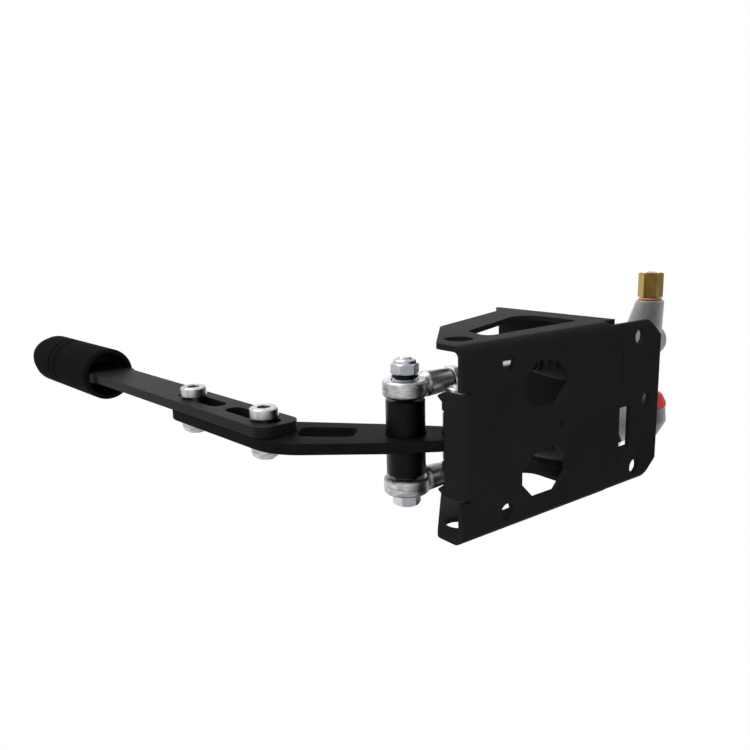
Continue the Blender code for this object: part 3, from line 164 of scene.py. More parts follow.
# Lever bar, given from the pivot with its bend
BAR_THICK = 6.0 * MM
BAR_SIDE = 1.5 * MM              # its middle plane beside the bracket's
BAR_END_RADIUS = 12.4 * MM
BAR_WIDTH = 27.0 * MM            # along the upright stretch, as the handle bar
CLAMP_POINT = (-73.35 * MM, 73.7 * MM)
CLAMP_PITCH = 75.8 * MM
HANDLE_LEAN = RAD(5.4)
BAR_BELLY = (-16.6 * MM, 39.2 * MM)      # corners of its outline, before they are rounded
BAR_HEEL = (-38.75 * MM, 10.55 * MM)
BAR_ELBOW_FAR = 88.2 * MM        # heights of the elbow on its two edges
BAR_ELBOW_NEAR = 47.9 * MM
POCKET_LENGTH = 31.0 * MM
POCKET_WIDTH = 17.0 * MM
POCKET_START = 54.0 * MM         # from the pivot along the bar
CROSS_POINT = (-20.7 * MM, 18.2 * MM)

# Handle bar and grip, given along the handle from the lower clamp bolt
HANDLE_FOOT = 16.3 * MM
HANDLE_REACH = 283.2 * MM
HANDLE_CORNER = 8.0 * MM
SLOT_LENGTH = 36.0 * MM          # between its end centres
SLOT_LOWER = -6.3 * MM
SLOT_UPPER = 48.7 * MM
GRIP_OVERLAP = 82.0 * MM         # of the bar inside the grip
GRIP_LENGTH = 124.5 * MM
STOP_AHEAD = 9.0 * MM            # start of the stops, below the grip's mouth
STOP_LENGTH = 8.0 * MM
STOP_HEIGHT = 2.0 * MM
GRIP_RADIUS = 18.7 * MM
GRIP_WALL = 3.2 * MM
GRIP_CAP = 24.0 * MM
GRIP_CHAMFER = 22.0 * MM         # length of its tapered end
GROOVES = (52.5 * MM, 63.0 * MM)         # from the end of the grip
CORE_START = 34.0 * MM           # behind the mouth of the grip
GROOVE_DEPTH = 1.2 * MM

# Cross tube, rod ends and pushrods
BALL_RADIUS = 8.0 * MM
BALL_WIDTH = 11.0 * MM
ROD_END_RADIUS = 12.0 * MM
ROD_END_WIDTH = 9.0 * MM
SHANK_LENGTH = 30.0 * MM
SHANK_ROOT = 7.0 * MM
SHANK_TIP = 6.2 * MM
TUBE_RADIUS = 10.4 * MM
TUBE_BORE = 5.0 * MM
ROD_RADIUS = 4.0 * MM
ROD_TIP_RADIUS = 3.4 * MM
ROD_START = 13.0 * MM            # inside the shank, from the ball's centre

# Pistons
PISTON_RADIUS = 7.7 * MM
PISTON_LENGTH = 19.0 * MM
SOCKET_RADIUS = 4.8 * MM
SOCKET_DEPTH = 6.0 * MM
TIP_PLAY = 0.6 * MM
STEM_RADIUS = 3.0 * MM
STEM_LENGTH = 7.0 * MM
CUP_LENGTH = 5.0 * MM
SEAL_GROOVE = 5.6 * MM           # radius of the piston ring's groove
SEAL_FRONT = 8.0 * MM
SEAL_REAR = 12.0 * MM
RING_AT = 3.4 * MM               # groove of the snap ring, from the flange face
RING_THICK = 1.0 * MM
RING_GROOVE = 1.2 * MM           # depth
RING_OPENING = 32                # half of its gap, in degrees
SPRING_WIRE = 0.7 * MM           # radius
SPRING_RADIUS = 5.6 * MM         # of the coil's middle
SPRING_TURNS = 6
BOOT_FOLDS = 4
BOOT_WALL = 1.3 * MM
BOOT_COLLAR = 6.0 * MM           # on the casting's nose
BOOT_PITCH = 5.2 * MM
BOOT_FOLD_DEPTH = 3.4 * MM
BOOT_CUFF = 4.0 * MM             # on the pushrod

# Fasteners
M8 = 4.0 * MM
M8_FLATS = 13.0 * MM
M8_HEAD = 5.3 * MM
M8_NUT = 6.5 * MM
M8_LOCKNUT = 8.0 * MM
M10 = 5.0 * MM
M10_FLATS = 16.0 * MM
M10_NUT = 8.0 * MM
CLAMP_HEAD_RADIUS = 7.9 * MM
CLAMP_HEAD = 6.4 * MM
CLAMP_SOCKET = 7.0 * MM
CLAMP_HEAD_EDGE = 0.8 * MM
WASHER_THICK = 1.2 * MM
WASHER_RADIUS = 8.0 * MM
LOCKNUT_COLLAR = 2.2 * MM        # round collars of the nuts
CLAMP_NUT_COLLAR = 2.6 * MM
BOLT_PAST = 1.0 * MM             # how far a bolt ends past its nut
CROSS_TURN = RAD(30)             # of the cross bolt's head and nut
HOLE_PLAY = 0.3 * MM             # a hole's radius over its bolt's

# Worked out from the above
HALF_WIDTH = BRACKET_WIDTH / 2
FLANGE_X = WALL_X + SHEET + GAP          # front face of the cylinders' mounting flanges
FLANGE_BACK = FLANGE_X + FLANGE_THICK
BARREL_END = FLANGE_BACK + BARREL_LENGTH
PORT_X = BARREL_END + PORT_OFFSET
HEAD_X = BARREL_END + HEAD_OFFSET
TAIL_END = PORT_X + TAIL_REACH
BOSS_FOOT_X = PORT_X - BOSS_FOOT_OFFSET
BALL_Y = CYLINDER_SPACING / 2
SIDES = {"upper": -BALL_Y, "lower": BALL_Y}
TUBE_HALF = BALL_Y - BALL_WIDTH / 2 - GAP
BALL_X = PIVOT_X + CROSS_POINT[0]
HANDLE_Y = BAR_SIDE - BAR_THICK - GAP
GRIP_START = HANDLE_REACH - GRIP_OVERLAP
STOP_START = GRIP_START - STOP_AHEAD
LUG_INSIDE = CRADLE_INSIDE / 2
LUG_OUTSIDE = LUG_INSIDE + CRADLE_SHEET
RING_LOW = FLANGE_X + RING_AT + GAP
STOP_LOW = RING_LOW + RING_THICK + 2 * GAP
PISTON_X = STOP_LOW + WASHER_THICK + GAP
TIP_X = PISTON_X + SOCKET_DEPTH - TIP_PLAY

ROUND = 72                       # sides of a round piece
FINE = 112                       # of the grip
SMALL = 48                       # of small and inner pieces


class Field:
    """A value that changes over a surface. Its sums and products are worked out in the material."""

    def __init__(self, look, socket):
        self.look, self.socket = look, socket

    def _with(self, operation, first, second, clamp=False):
        settings = {"operation": operation, "use_clamp": clamp}
        made = self.look.node("ShaderNodeMath", settings, {0: first, 1: second})
        return Field(self.look, made.outputs[0])

    def __add__(self, other):
        return self._with("ADD", self, other)

    __radd__ = __add__

    def __sub__(self, other):
        return self._with("SUBTRACT", self, other)

    def __rsub__(self, other):
        return self._with("SUBTRACT", other, self)

    def __mul__(self, other):
        return self._with("MULTIPLY", self, other)

    __rmul__ = __mul__

    def held(self):
        """The same value, kept from 0 to 1."""
        return self._with("ADD", self, 0.0, True)


class Board:
    """A node tree, and the one way that nodes are put into it."""

    def __init__(self, tree):
        self.tree = tree

    def node(self, kind, settings=None, values=None):
        made = self.tree.nodes.new(kind)
        for setting, value in (settings or {}).items():
            setattr(made, setting, value)
        for socket, value in (values or {}).items():
            self.give(made, socket, value)
        return made

    def give(self, node, socket, value):
        """Sets an input, or links a field or another node's socket to it."""
        if isinstance(value, Field):
            value = value.socket
        if isinstance(value, bpy.types.NodeSocket):
            self.tree.links.new(value, node.inputs[socket])
        else:
            node.inputs[socket].default_value = value


class Look(Board):
    """One material: a Principled surface whose varying sockets are fed from fields."""

    def __init__(self, name, colour, roughness, metallic=0.0, **plain):
        self.material = bpy.data.materials.new(name)
        self.material.use_nodes = True
        super().__init__(self.material.node_tree)
        self.surface = self.tree.nodes["Principled BSDF"]
        self.material.diffuse_color = (*colour, 1.0)
        self.feed(Base_Color=(*colour, 1.0), Roughness=roughness, Metallic=metallic, **plain)
        self.place = self.node("ShaderNodeTexCoord").outputs["Object"]

    def turned(self, turn, stretch):
        """The surface's place, turned and then stretched, for grain that runs one way."""
        turned = self.node("ShaderNodeMapping", {"vector_type": "TEXTURE"},
                           {"Vector": self.place, "Rotation": turn}).outputs[0]
        return self.node("ShaderNodeMapping", {}, {"Vector": turned, "Scale": stretch}).outputs[0]

    def grain(self, size, detail=3.0, rough=0.55, place=None):
        """Cloudy noise whose lumps are about this many metres across."""
        values = {"Vector": place or self.place, "Scale": 0.5 / size, "Detail": detail, "Roughness": rough}
        return Field(self, self.node("ShaderNodeTexNoise", {}, values).outputs[0])

    def cells(self, size):
        """Distance to the nearest of many scattered points."""
        values = {"Vector": self.place, "Scale": 1 / size}
        return Field(self, self.node("ShaderNodeTexVoronoi", {"feature": "F1"}, values).outputs["Distance"])

    def rings(self, size, axis):
        """Fine turning marks along an axis."""
        values = {"Vector": self.place, "Scale": 0.3 / size, "Distortion": 0.6, "Detail": 1.0}
        wave = self.node("ShaderNodeTexWave", {"bands_direction": axis, "wave_profile": "SIN"}, values)
        return Field(self, wave.outputs["Fac"])

    def leaning(self, way):
        """How squarely the surface faces a direction: one is square on, and below zero is turned away."""
        normal = self.node("ShaderNodeTexCoord").outputs["Normal"]
        facing = self.node("ShaderNodeVectorMath", {"operation": "DOT_PRODUCT"}, {0: normal, 1: way})
        return Field(self, facing.outputs["Value"])

    def range(self, value, low, high, start=0.0, end=1.0):
        """The field's stretch from low to high, spread from start to end."""
        values = {0: value, 1: low, 2: high, 3: start, 4: end}
        return Field(self, self.node("ShaderNodeMapRange", {"clamp": True}, values).outputs[0])

    def blend(self, share, first, second):
        """A colour between two, by a field."""
        first, second = ((*tone, 1.0) if isinstance(tone, tuple) else tone for tone in (first, second))
        return self.node("ShaderNodeMix", {"data_type": "RGBA"}, {0: share, 6: first, 7: second}).outputs[2]

    def feed(self, **fields):
        """Gives the surface its values, colours and fields by the names of its sockets."""
        for socket, value in fields.items():
            self.give(self.surface, socket.replace("_", " "), value)

    def relief(self, height, depth):
        """Raises the surface by the field, in metres from its lowest to its highest."""
        bump = self.node("ShaderNodeBump", {}, {"Height": height, "Strength": 1.0, "Distance": depth})
        self.give(self.surface, "Normal", bump.outputs[0])
        return self


def powder_coat():
    """Satin black powder coat: fine orange peel, a slightly cloudy tone and a few specks of dust."""
    look = Look("black_powder_coat", (0.018, 0.018, 0.019), 0.5, 0.0, Specular_IOR_Level=0.012)
    peel, cloud, dust = look.grain(0.9 * MM, 2.0), look.grain(22 * MM), look.cells(5.5 * MM)
    speck = look.range(dust, 0.0, 0.055, 1.0, 0.0) * look.range(look.grain(3 * MM), 0.52, 0.6)
    tone = look.blend(look.range(cloud, 0.3, 0.7), (0.0155, 0.0155, 0.0165), (0.020, 0.020, 0.021))
    look.feed(Base_Color=look.blend(speck * 0.5, tone, (0.10, 0.10, 0.105)),
              Roughness=0.42 + 0.14 * cloud + 0.08 * peel)
    return look.relief(peel + 0.4 * look.grain(0.35 * MM, 1.0), 0.035 * MM).material


def bar_finish(name, angle, sheen):
    """Dark satin paint on a flat bar, with grain along its length, which leans by the angle."""
    look = Look(name, (0.010, 0.010, 0.011), 0.42, 0.0, Specular_IOR_Level=sheen)
    along = look.turned((0, angle, 0), (1.0, 1.0, 0.035))
    lines, cloud = look.grain(0.3 * MM, 4.0, 0.7, along), look.grain(14 * MM)
    streak = look.range(lines, 0.35, 0.7)
    look.feed(Base_Color=look.blend(streak, (0.0055, 0.0055, 0.006), (0.013, 0.013, 0.014)),
              Roughness=0.4 + 0.14 * streak + 0.08 * cloud)
    return look.relief(lines, 0.022 * MM).material


def bright_zinc(name, shade_side):
    """Bright zinc plate over machined steel, a little blue and yellow in places, and darker on one side
    with painted shade.
    """
    look = Look(name, (0.58, 0.60, 0.62), 0.26, 1.0)
    cloud, fine = look.grain(7 * MM), look.grain(0.5 * MM, 4.0)
    stain = look.range(look.grain(3.2 * MM, 4.0), 0.56, 0.72)
    tint = look.blend(look.range(cloud, 0.35, 0.65), (0.50, 0.53, 0.57), (0.66, 0.65, 0.62))
    # Painted shade: the side that faces the given direction is darkened towards dark grey.
    zinc_shade = look.range(look.leaning(shade_side) + 0.5 * cloud, 0.55, 1.0)
    tint = look.blend(zinc_shade, tint, (0.12, 0.12, 0.13))
    look.feed(Base_Color=look.blend(stain * 0.55, tint, (0.24, 0.24, 0.25)),
              Roughness=0.18 + 0.12 * cloud + 0.14 * fine + 0.12 * stain)
    return look.relief(fine, 0.02 * MM).material


def forged_zinc():
    """Bright zinc over a banded, lumpy forged skin, with painted shade darkening the side towards +Y."""
    look = Look("forged_zinc", (0.60, 0.61, 0.62), 0.34, 1.0)
    bands = look.grain(0.8 * MM, 4.0, 0.6, look.turned((0, 0, 0), (0.12, 1.0, 0.45)))
    lumps, fine, pits = look.grain(4 * MM, 4.0), look.grain(0.35 * MM, 3.0), look.cells(1.4 * MM)
    pit = look.range(pits + 0.7 * lumps, 0.5, 0.36)
    tone = look.blend(look.range(bands, 0.34, 0.66), (0.30, 0.31, 0.32), (0.68, 0.69, 0.70))
    # Painted shade: the side that faces +Y is darkened nearly to black.
    under = look.range(look.leaning((0.25, 0.95, 0.0)) + 0.3 * lumps, 0.22, 0.7)
    tone = look.blend(under * 0.92, tone, (0.03, 0.03, 0.032))
    look.feed(Base_Color=look.blend(pit * 0.5, tone, (0.16, 0.16, 0.17)),
              Roughness=0.2 + 0.22 * bands + 0.12 * fine)
    return look.relief(bands + 0.5 * lumps + 0.2 * fine, 0.2 * MM).material


def sand_casting():
    """Grey sand-cast aluminium: grainy, with dirt in the pits and painted shade where it faces forward and
    down.
    """
    look = Look("cast_aluminium", (0.40, 0.40, 0.39), 0.55, 0.75)
    lumps, sand, fine = look.grain(2.2 * MM, 5.0, 0.6), look.cells(0.7 * MM), look.grain(0.35 * MM, 3.0)
    pit = look.range(sand + 0.5 * lumps, 0.42, 0.26)
    tone = look.blend(look.range(lumps, 0.36, 0.64), (0.35, 0.35, 0.34), (0.47, 0.47, 0.46))
    # Painted shade: faces turned forward and down are darkened.
    painted_shade = look.range(look.leaning((-0.86, -0.1, -0.5)) + 0.3 * lumps, 0.55, 1.05)
    tone = look.blend(painted_shade * 0.9, tone, (0.085, 0.085, 0.08))
    look.feed(Base_Color=look.blend(pit * 0.7, tone, (0.10, 0.10, 0.095)),
              Roughness=0.42 + 0.2 * fine + 0.15 * pit)
    return look.relief(lumps + 0.5 * sand + 0.3 * fine, 0.32 * MM).material


def turned_metal(name, light, dark, axis, roughness=0.24, mark=0.25 * MM, shade_side=(-0.59, -0.2, -0.78)):
    """Metal from the lathe, with turning marks along an axis, and painted shade darkening one side, which
    is also rougher.
    """
    look = Look(name, light, roughness, 1.0)
    marks, cloud = look.rings(mark, axis), look.grain(4 * MM, 4.0)
    # Painted shade: the side that faces the given direction is darkened towards the dark colour, and its
    # roughness rises there too.
    turned_shade = look.range(look.leaning(shade_side) + 0.5 * cloud, 0.7, 1.25)
    look.feed(Base_Color=look.blend(turned_shade * 0.95, light, dark),
              Roughness=roughness - 0.05 + 0.08 * marks + 0.16 * turned_shade)
    return look.relief(marks + look.grain(0.4 * MM), 0.014 * MM).material


def moulded(name, light, dark, roughness, size, depth, shade_way=None):
    """Moulded plastic or rubber with a fine uneven skin, and painted shade on one side where a side is
    given.
    """
    look = Look(name, light, roughness)
    skin, cloud = look.grain(size, 3.0), look.grain(8 * MM)
    tone = look.blend(look.range(cloud, 0.35, 0.65), dark, light)
    if shade_way:
        # Painted shade: the side that faces the given direction is darkened nearly to black.
        painted_shade = look.range(look.leaning(shade_way) + 0.3 * cloud, 0.62, 0.9)
        tone = look.blend(painted_shade * 0.96, tone, (0.015, 0.008, 0.007))
    look.feed(Base_Color=tone, Roughness=roughness - 0.06 + 0.14 * skin)
    return look.relief(skin, depth).material


def foam_rubber():
    """Closed-cell foam of the grip: dead black, pricked with fine cells."""
    look = Look("grip_foam", (0.0045, 0.0045, 0.005), 0.9, 0.0, Specular_IOR_Level=0.02)
    cell, dent, cloud = look.cells(0.55 * MM), look.grain(2.5 * MM, 4.0), look.grain(16 * MM)
    look.feed(Base_Color=look.blend(look.range(cell + 0.5 * cloud, 0.25, 0.95), (0.0025, 0.0025, 0.0028),
                                    (0.008, 0.008, 0.0085)), Roughness=0.8 + 0.12 * dent)
    return look.relief(cell * 0.5 + dent * 0.6, 0.16 * MM).material


LEVER_GRAIN = RAD(-46)
BLACK_COAT = powder_coat()
BLACK_BAR = bar_finish("black_handle_bar", -HANDLE_LEAN, 0.08)
BLACK_LEVER = bar_finish("black_lever_bar", LEVER_GRAIN, 0.012)
# Painted shade: the black tube and the turned looks below (brass, copper, bronze, steel) darken the side
# that faces their default direction.
BLACK_TUBE = turned_metal("black_turned_tube", (0.02, 0.02, 0.022), (0.01, 0.01, 0.011), "Y", 0.34)
# Painted shade: each zinc look darkens the side that faces its given direction.
ZINC = bright_zinc("bright_zinc", (0.35, 0.9, 0.25))
SCREW = bright_zinc("screw_zinc", (0.80, 0.25, -0.55))
FORGED = forged_zinc()
CAST = sand_casting()
BRASS = turned_metal("brass", (0.40, 0.275, 0.075), (0.105, 0.058, 0.012), "Y", 0.2)
COPPER = turned_metal("copper", (0.70, 0.34, 0.23), (0.42, 0.17, 0.10), "Y", 0.3)
BRONZE = turned_metal("bronze", (0.50, 0.32, 0.16), (0.30, 0.18, 0.09), "Y", 0.36)
STEEL = turned_metal("steel", (0.50, 0.50, 0.51), (0.30, 0.30, 0.31), "X", 0.24)
# Painted shade: the red cap is darkened on its side that faces -X.
RED = moulded("red_plastic", (0.80, 0.030, 0.012), (0.62, 0.012, 0.008), 0.36, 1.2 * MM, 0.03 * MM,
              shade_way=(-1.0, 0.0, 0.1))
RUBBER = moulded("black_rubber", (0.013, 0.013, 0.013), (0.008, 0.008, 0.008), 0.7, 0.5 * MM, 0.04 * MM)
PLASTIC = moulded("black_plastic", (0.016, 0.016, 0.016), (0.01, 0.01, 0.01), 0.5, 0.4 * MM, 0.03 * MM)
FOAM = foam_rubber()

# How far edges are rounded, for each look
SMALL_EDGE = 0.2 * MM
EDGES = {BLACK_COAT: 0.45 * MM, BLACK_BAR: 0.5 * MM, BLACK_LEVER: 0.5 * MM, PLASTIC: 0.3 * MM,
         RED: 0.4 * MM}


def seat(location, parent=Matrix(), lean=0.0):
    """The place of a group of pieces, from the place that carries it."""
    return parent @ Matrix.Translation(location) @ Matrix.Rotation(lean, 4, "Y")


made_pieces = []                 # name, object and look of every piece


def finish(name, shape, look=None, parent=Matrix(), location=(0, 0, 0)):
    """Turns a bmesh into an object in its place. One with no look is there to cut, join or trim."""
    bmesh.ops.remove_doubles(shape, verts=shape.verts, dist=1e-6)
    bmesh.ops.dissolve_degenerate(shape, edges=shape.edges, dist=1e-7)
    bmesh.ops.recalc_face_normals(shape, faces=shape.faces)
    mesh = bpy.data.meshes.new(name)
    shape.to_mesh(mesh)
    shape.free()
    mesh.transform(parent @ Matrix.Translation(location))
    made = bpy.data.objects.new(name, mesh)
    bpy.context.scene.collection.objects.link(made)
    if look is not None:
        mesh.materials.append(look)
        made_pieces.append((name, made, look))
    return made


def combine(target, operation, tools):
    """Joins, cuts or keeps by other shapes, which are then gone."""
    for tool in tools:
        change = target.modifiers.new(operation.lower(), "BOOLEAN")
        change.operation = operation
        change.solver = "EXACT"
        change.object = tool
        tool.data.materials.clear()
    settle(target)
    for tool in tools:
        bpy.data.objects.remove(tool, do_unlink=True)
    return target


def settle(target):
    """Applies every modifier."""
    look = target.data.materials[0] if target.data.materials else None
    graph = bpy.context.evaluated_depsgraph_get()
    mesh = bpy.data.meshes.new_from_object(target.evaluated_get(graph))
    target.modifiers.clear()
    target.data = mesh
    mesh.materials.clear()
    if look is not None:
        mesh.materials.append(look)
    return target


def cut(target, *tools):
    return combine(target, "DIFFERENCE", tools)


def join(target, *tools):
    return combine(target, "UNION", tools)


def keep(target, *tools):
    return combine(target, "INTERSECT", tools)


def soften(target, grid, rounds):
    """Gives a casting or forging its rounded edges and filled corners."""
    remesh = target.modifiers.new("remesh", "REMESH")
    remesh.mode = "VOXEL"
    remesh.voxel_size = grid
    smooth = target.modifiers.new("smooth", "SMOOTH")
    smooth.factor = 0.5
    smooth.iterations = rounds
    return settle(target)


def ease_edges(target, width):
    """A small round on every sharp edge."""
    bevel = target.modifiers.new("edges", "BEVEL")
    bevel.width = width
    bevel.segments = 2
    bevel.limit_method = "ANGLE"
    bevel.angle_limit = RAD(28)
    bevel.use_clamp_overlap = True
    target.modifiers.new("normals", "WEIGHTED_NORMAL").keep_sharp = True


def rounded(corners, steps=9):
    """An outline from corners (x, y, radius); a radius of 0 stays sharp."""
    points = []
    count = len(corners)
    for index, (x, y, radius) in enumerate(corners):
        here = Vector((x, y))
        if radius <= 0:
            points.append(here)
            continue
        before = (Vector(corners[index - 1][:2]) - here).normalized()
        after = (Vector(corners[(index + 1) % count][:2]) - here).normalized()
        half = before.angle(after) / 2
        reach = radius / math.tan(half)
        centre = here + (before + after).normalized() * (radius / math.sin(half))
        start = here + before * reach - centre
        sweep = math.pi - 2 * half
        side = 1 if before.cross(after) < 0 else -1
        for step in range(steps + 1):
            angle = side * sweep * step / steps
            points.append(centre + Matrix.Rotation(angle, 2) @ start)
    return points


def circle(radius, centre=(0, 0), steps=ROUND):
    return [Vector((centre[0] + radius * math.cos(2 * math.pi * k / steps),
                    centre[1] + radius * math.sin(2 * math.pi * k / steps))) for k in range(steps)]


def arc(radius, degrees, x=0.0, y=0.0):
    """Points of an arc about (x, y), at these angles in degrees."""
    return [Vector((x + radius * math.cos(RAD(a)), y + radius * math.sin(RAD(a)))) for a in degrees]


def sweep(radius, first, last, steps, middle):
    """Points of an arc from one angle to another, about a centre on the second axis."""
    angles = [first + (last - first) * step / steps for step in range(steps + 1)]
    return [Vector((radius * math.cos(angle), middle + radius * math.sin(angle))) for angle in angles]


def box(x0, x1, y0, y1):
    return [(x0, y0), (x1, y0), (x1, y1), (x0, y1)]


def mirrored(points):
    """The same points beyond the middle, in reverse; a corner's radius stays with it."""
    return [(-point[0], *point[1:]) for point in reversed(points)]


def hexagon(flats):
    return circle(flats / math.sqrt(3), steps=6)


def slot(length, width, start, steps=14):
    """A slot along the second axis, from its first end's centre."""
    half = width / 2
    return (sweep(half, math.pi, 2 * math.pi, steps, start)
            + sweep(half, 0.0, math.pi, steps, start + length))


def oval(hub, ear, reach, steps=14):
    """A round hub with two smaller ears along the second axis, joined by tangents."""
    lean = math.asin((hub - ear) / reach)
    return (sweep(hub, -lean, lean, steps, 0) + sweep(ear, lean, math.pi - lean, steps, reach)
            + sweep(hub, math.pi - lean, math.pi + lean, steps, 0)
            + sweep(ear, math.pi + lean, 2 * math.pi - lean, steps, -reach))


def to_xy(u, v, h):
    return (u, v, h)


def to_xz(u, v, h):
    return (u, h, v)


def to_yz(u, v, h):
    return (h, u, v)


def slab(outlines, low, high, place=to_xy):
    """A flat piece between two levels: the first outline is its edge, the others are holes."""
    shape = bmesh.new()
    for outline in outlines:
        corners = [shape.verts.new((point[0], point[1], low)) for point in outline]
        for first, second in zip(corners, corners[1:] + corners[:1]):
            shape.edges.new((first, second))
    bmesh.ops.triangle_fill(shape, use_beauty=True, use_dissolve=False, edges=shape.edges[:])
    raised = bmesh.ops.extrude_face_region(shape, geom=shape.faces[:])
    top = [item for item in raised["geom"] if isinstance(item, bmesh.types.BMVert)]
    bmesh.ops.translate(shape, verts=top, vec=(0, 0, high - low))
    for vertex in shape.verts:
        vertex.co = place(*vertex.co)
    return shape


def turned(profile, axis="Z", steps=ROUND, closed=False):
    """A profile of (along, radius) points spun about an axis; closed ones make rings."""
    shape = bmesh.new()
    points = [shape.verts.new((radius, 0, along)) for along, radius in profile]
    edges = [shape.edges.new(pair) for pair in zip(points, points[1:])]
    if closed:
        edges.append(shape.edges.new((points[-1], points[0])))
    bmesh.ops.spin(shape, geom=points + edges, cent=(0, 0, 0), axis=(0, 0, 1), angle=2 * math.pi,
                   steps=steps, use_merge=True, use_duplicate=False)
    bmesh.ops.remove_doubles(shape, verts=shape.verts, dist=1e-6)
    return along(shape, axis)


def rod(radius, low, high, axis="Z", steps=ROUND):
    return turned([(low, 0), (low, radius), (high, radius), (high, 0)], axis, steps)


def ring(inner, outer, low, high, axis="Z", chamfer=0.0, steps=ROUND):
    """A tube or washer, whose outer edges may be chamfered."""
    edge = outer - chamfer
    profile = [(low, inner), (low, edge), (high, edge), (high, inner)]
    if chamfer:
        profile[2:2] = [(low + chamfer, outer), (high - chamfer, outer)]
    return turned(profile, axis, steps, closed=True)


def loft(rings):
    """A skin over rings of (points in space), closed at both ends."""
    shape = bmesh.new()
    levels = [[shape.verts.new(point) for point in points] for points in rings]
    count = len(levels[0])
    for lower, upper in zip(levels, levels[1:]):
        for k in range(count):
            n = (k + 1) % count
            shape.faces.new((lower[k], lower[n], upper[n], upper[k]))
    shape.faces.new(levels[0])
    shape.faces.new(levels[-1])
    return shape


def merge(*shapes):
    """Several separate solids in one bmesh."""
    whole = shapes[0]
    for other in shapes[1:]:
        spare = bpy.data.meshes.new("spare")
        other.to_mesh(spare)
        other.free()
        whole.from_mesh(spare)
        bpy.data.meshes.remove(spare)
    return whole


def moved(shape, x=0.0, y=0.0, z=0.0):
    bmesh.ops.translate(shape, verts=shape.verts, vec=(x, y, z))
    return shape


def along(shape, axis):
    """Turns a shape made along Z to lie along another axis."""
    if axis == "X":
        shape.transform(Matrix.Rotation(RAD(90), 4, "Y"))
    elif axis == "Y":
        shape.transform(Matrix.Rotation(RAD(-90), 4, "X"))
    return shape


def threaded_rod(radius, tail, head, axis="Z"):
    """A shank with thread ridges at its tail."""
    way = 1 if head > tail else -1
    pitch, depth, lead, ridges = 1.25 * MM, 0.45 * MM, 0.8 * MM, 11
    profile = [(tail, 0), (tail, radius - 2 * depth)]
    for k in range(ridges):
        root = tail + way * (lead + pitch * k)
        profile += [(root, radius - depth), (root + way * 0.45 * pitch, radius),
                    (root + way * 0.6 * pitch, radius)]
    return turned(profile + [(head, radius), (head, 0)], axis, SMALL)


def hex_solid(flats, low, high, axis, hole=0.0, chamfer_ends=(True, True), collars=(0.0, 0.0), turn=0.0):
    """A hexagon with its corners turned down by a cone, and a round collar at either end."""
    steps, slope, face = ROUND, math.tan(RAD(30)), flats / 2 * 0.95
    shape = bmesh.new()
    columns = []
    for k in range(steps):
        angle = 2 * math.pi * k / steps
        reach = flats / 2 / math.cos((angle % RAD(60)) - RAD(30))
        column = []
        for end, inward, chamfered, collar in ((low, 1, chamfer_ends[0], collars[0]),
                                               (high, -1, chamfer_ends[1], collars[1])):
            rise = end + inward * collar
            stage = [(hole, end + inward * 0.5 * MM), (hole + 0.5 * MM, end)] if hole else []
            if collar:
                stage += [(face - 1.2 * MM, end), (face - 0.2 * MM, end + inward * 0.8 * MM), (face, rise)]
            if chamfered:
                stage += [(face, rise), (reach, rise + inward * (reach - face) * slope)]
            else:
                stage += [(reach, rise)]
            column += stage if inward == 1 else stage[::-1]
        across, up = math.cos(angle + turn), math.sin(angle + turn)
        columns.append([shape.verts.new((r * across, r * up, level)) for r, level in column])
    for first, second in zip(columns, columns[1:] + columns[:1]):
        pairs = list(zip(first, second))
        for (a, b), (c, d) in zip(pairs, pairs[1:] + (pairs[:1] if hole else [])):
            shape.faces.new((a, b, d, c))
    if not hole:
        shape.faces.new([column[0] for column in columns])
        shape.faces.new([column[-1] for column in columns])
    return along(shape, axis)


def lock_nut(face, turn=0.0):
    """A lock nut along Y that ends at a face, with a round collar at its other end."""
    return hex_solid(M8_FLATS, face - M8_LOCKNUT, face, "Y", M8 + GAP / 3, collars=(LOCKNUT_COLLAR, 0.0),
                     turn=turn)


def ball_zone(radius, low, width, steps=6):
    """The profile of a ball between two flat ends."""
    levels = [low + width * k / steps for k in range(steps + 1)]
    return [(level, math.sqrt(radius ** 2 - level ** 2)) for level in levels]


bracket = seat((0, 0, 0))
pivot = seat((PIVOT_X, 0, PIVOT_HEIGHT), bracket)


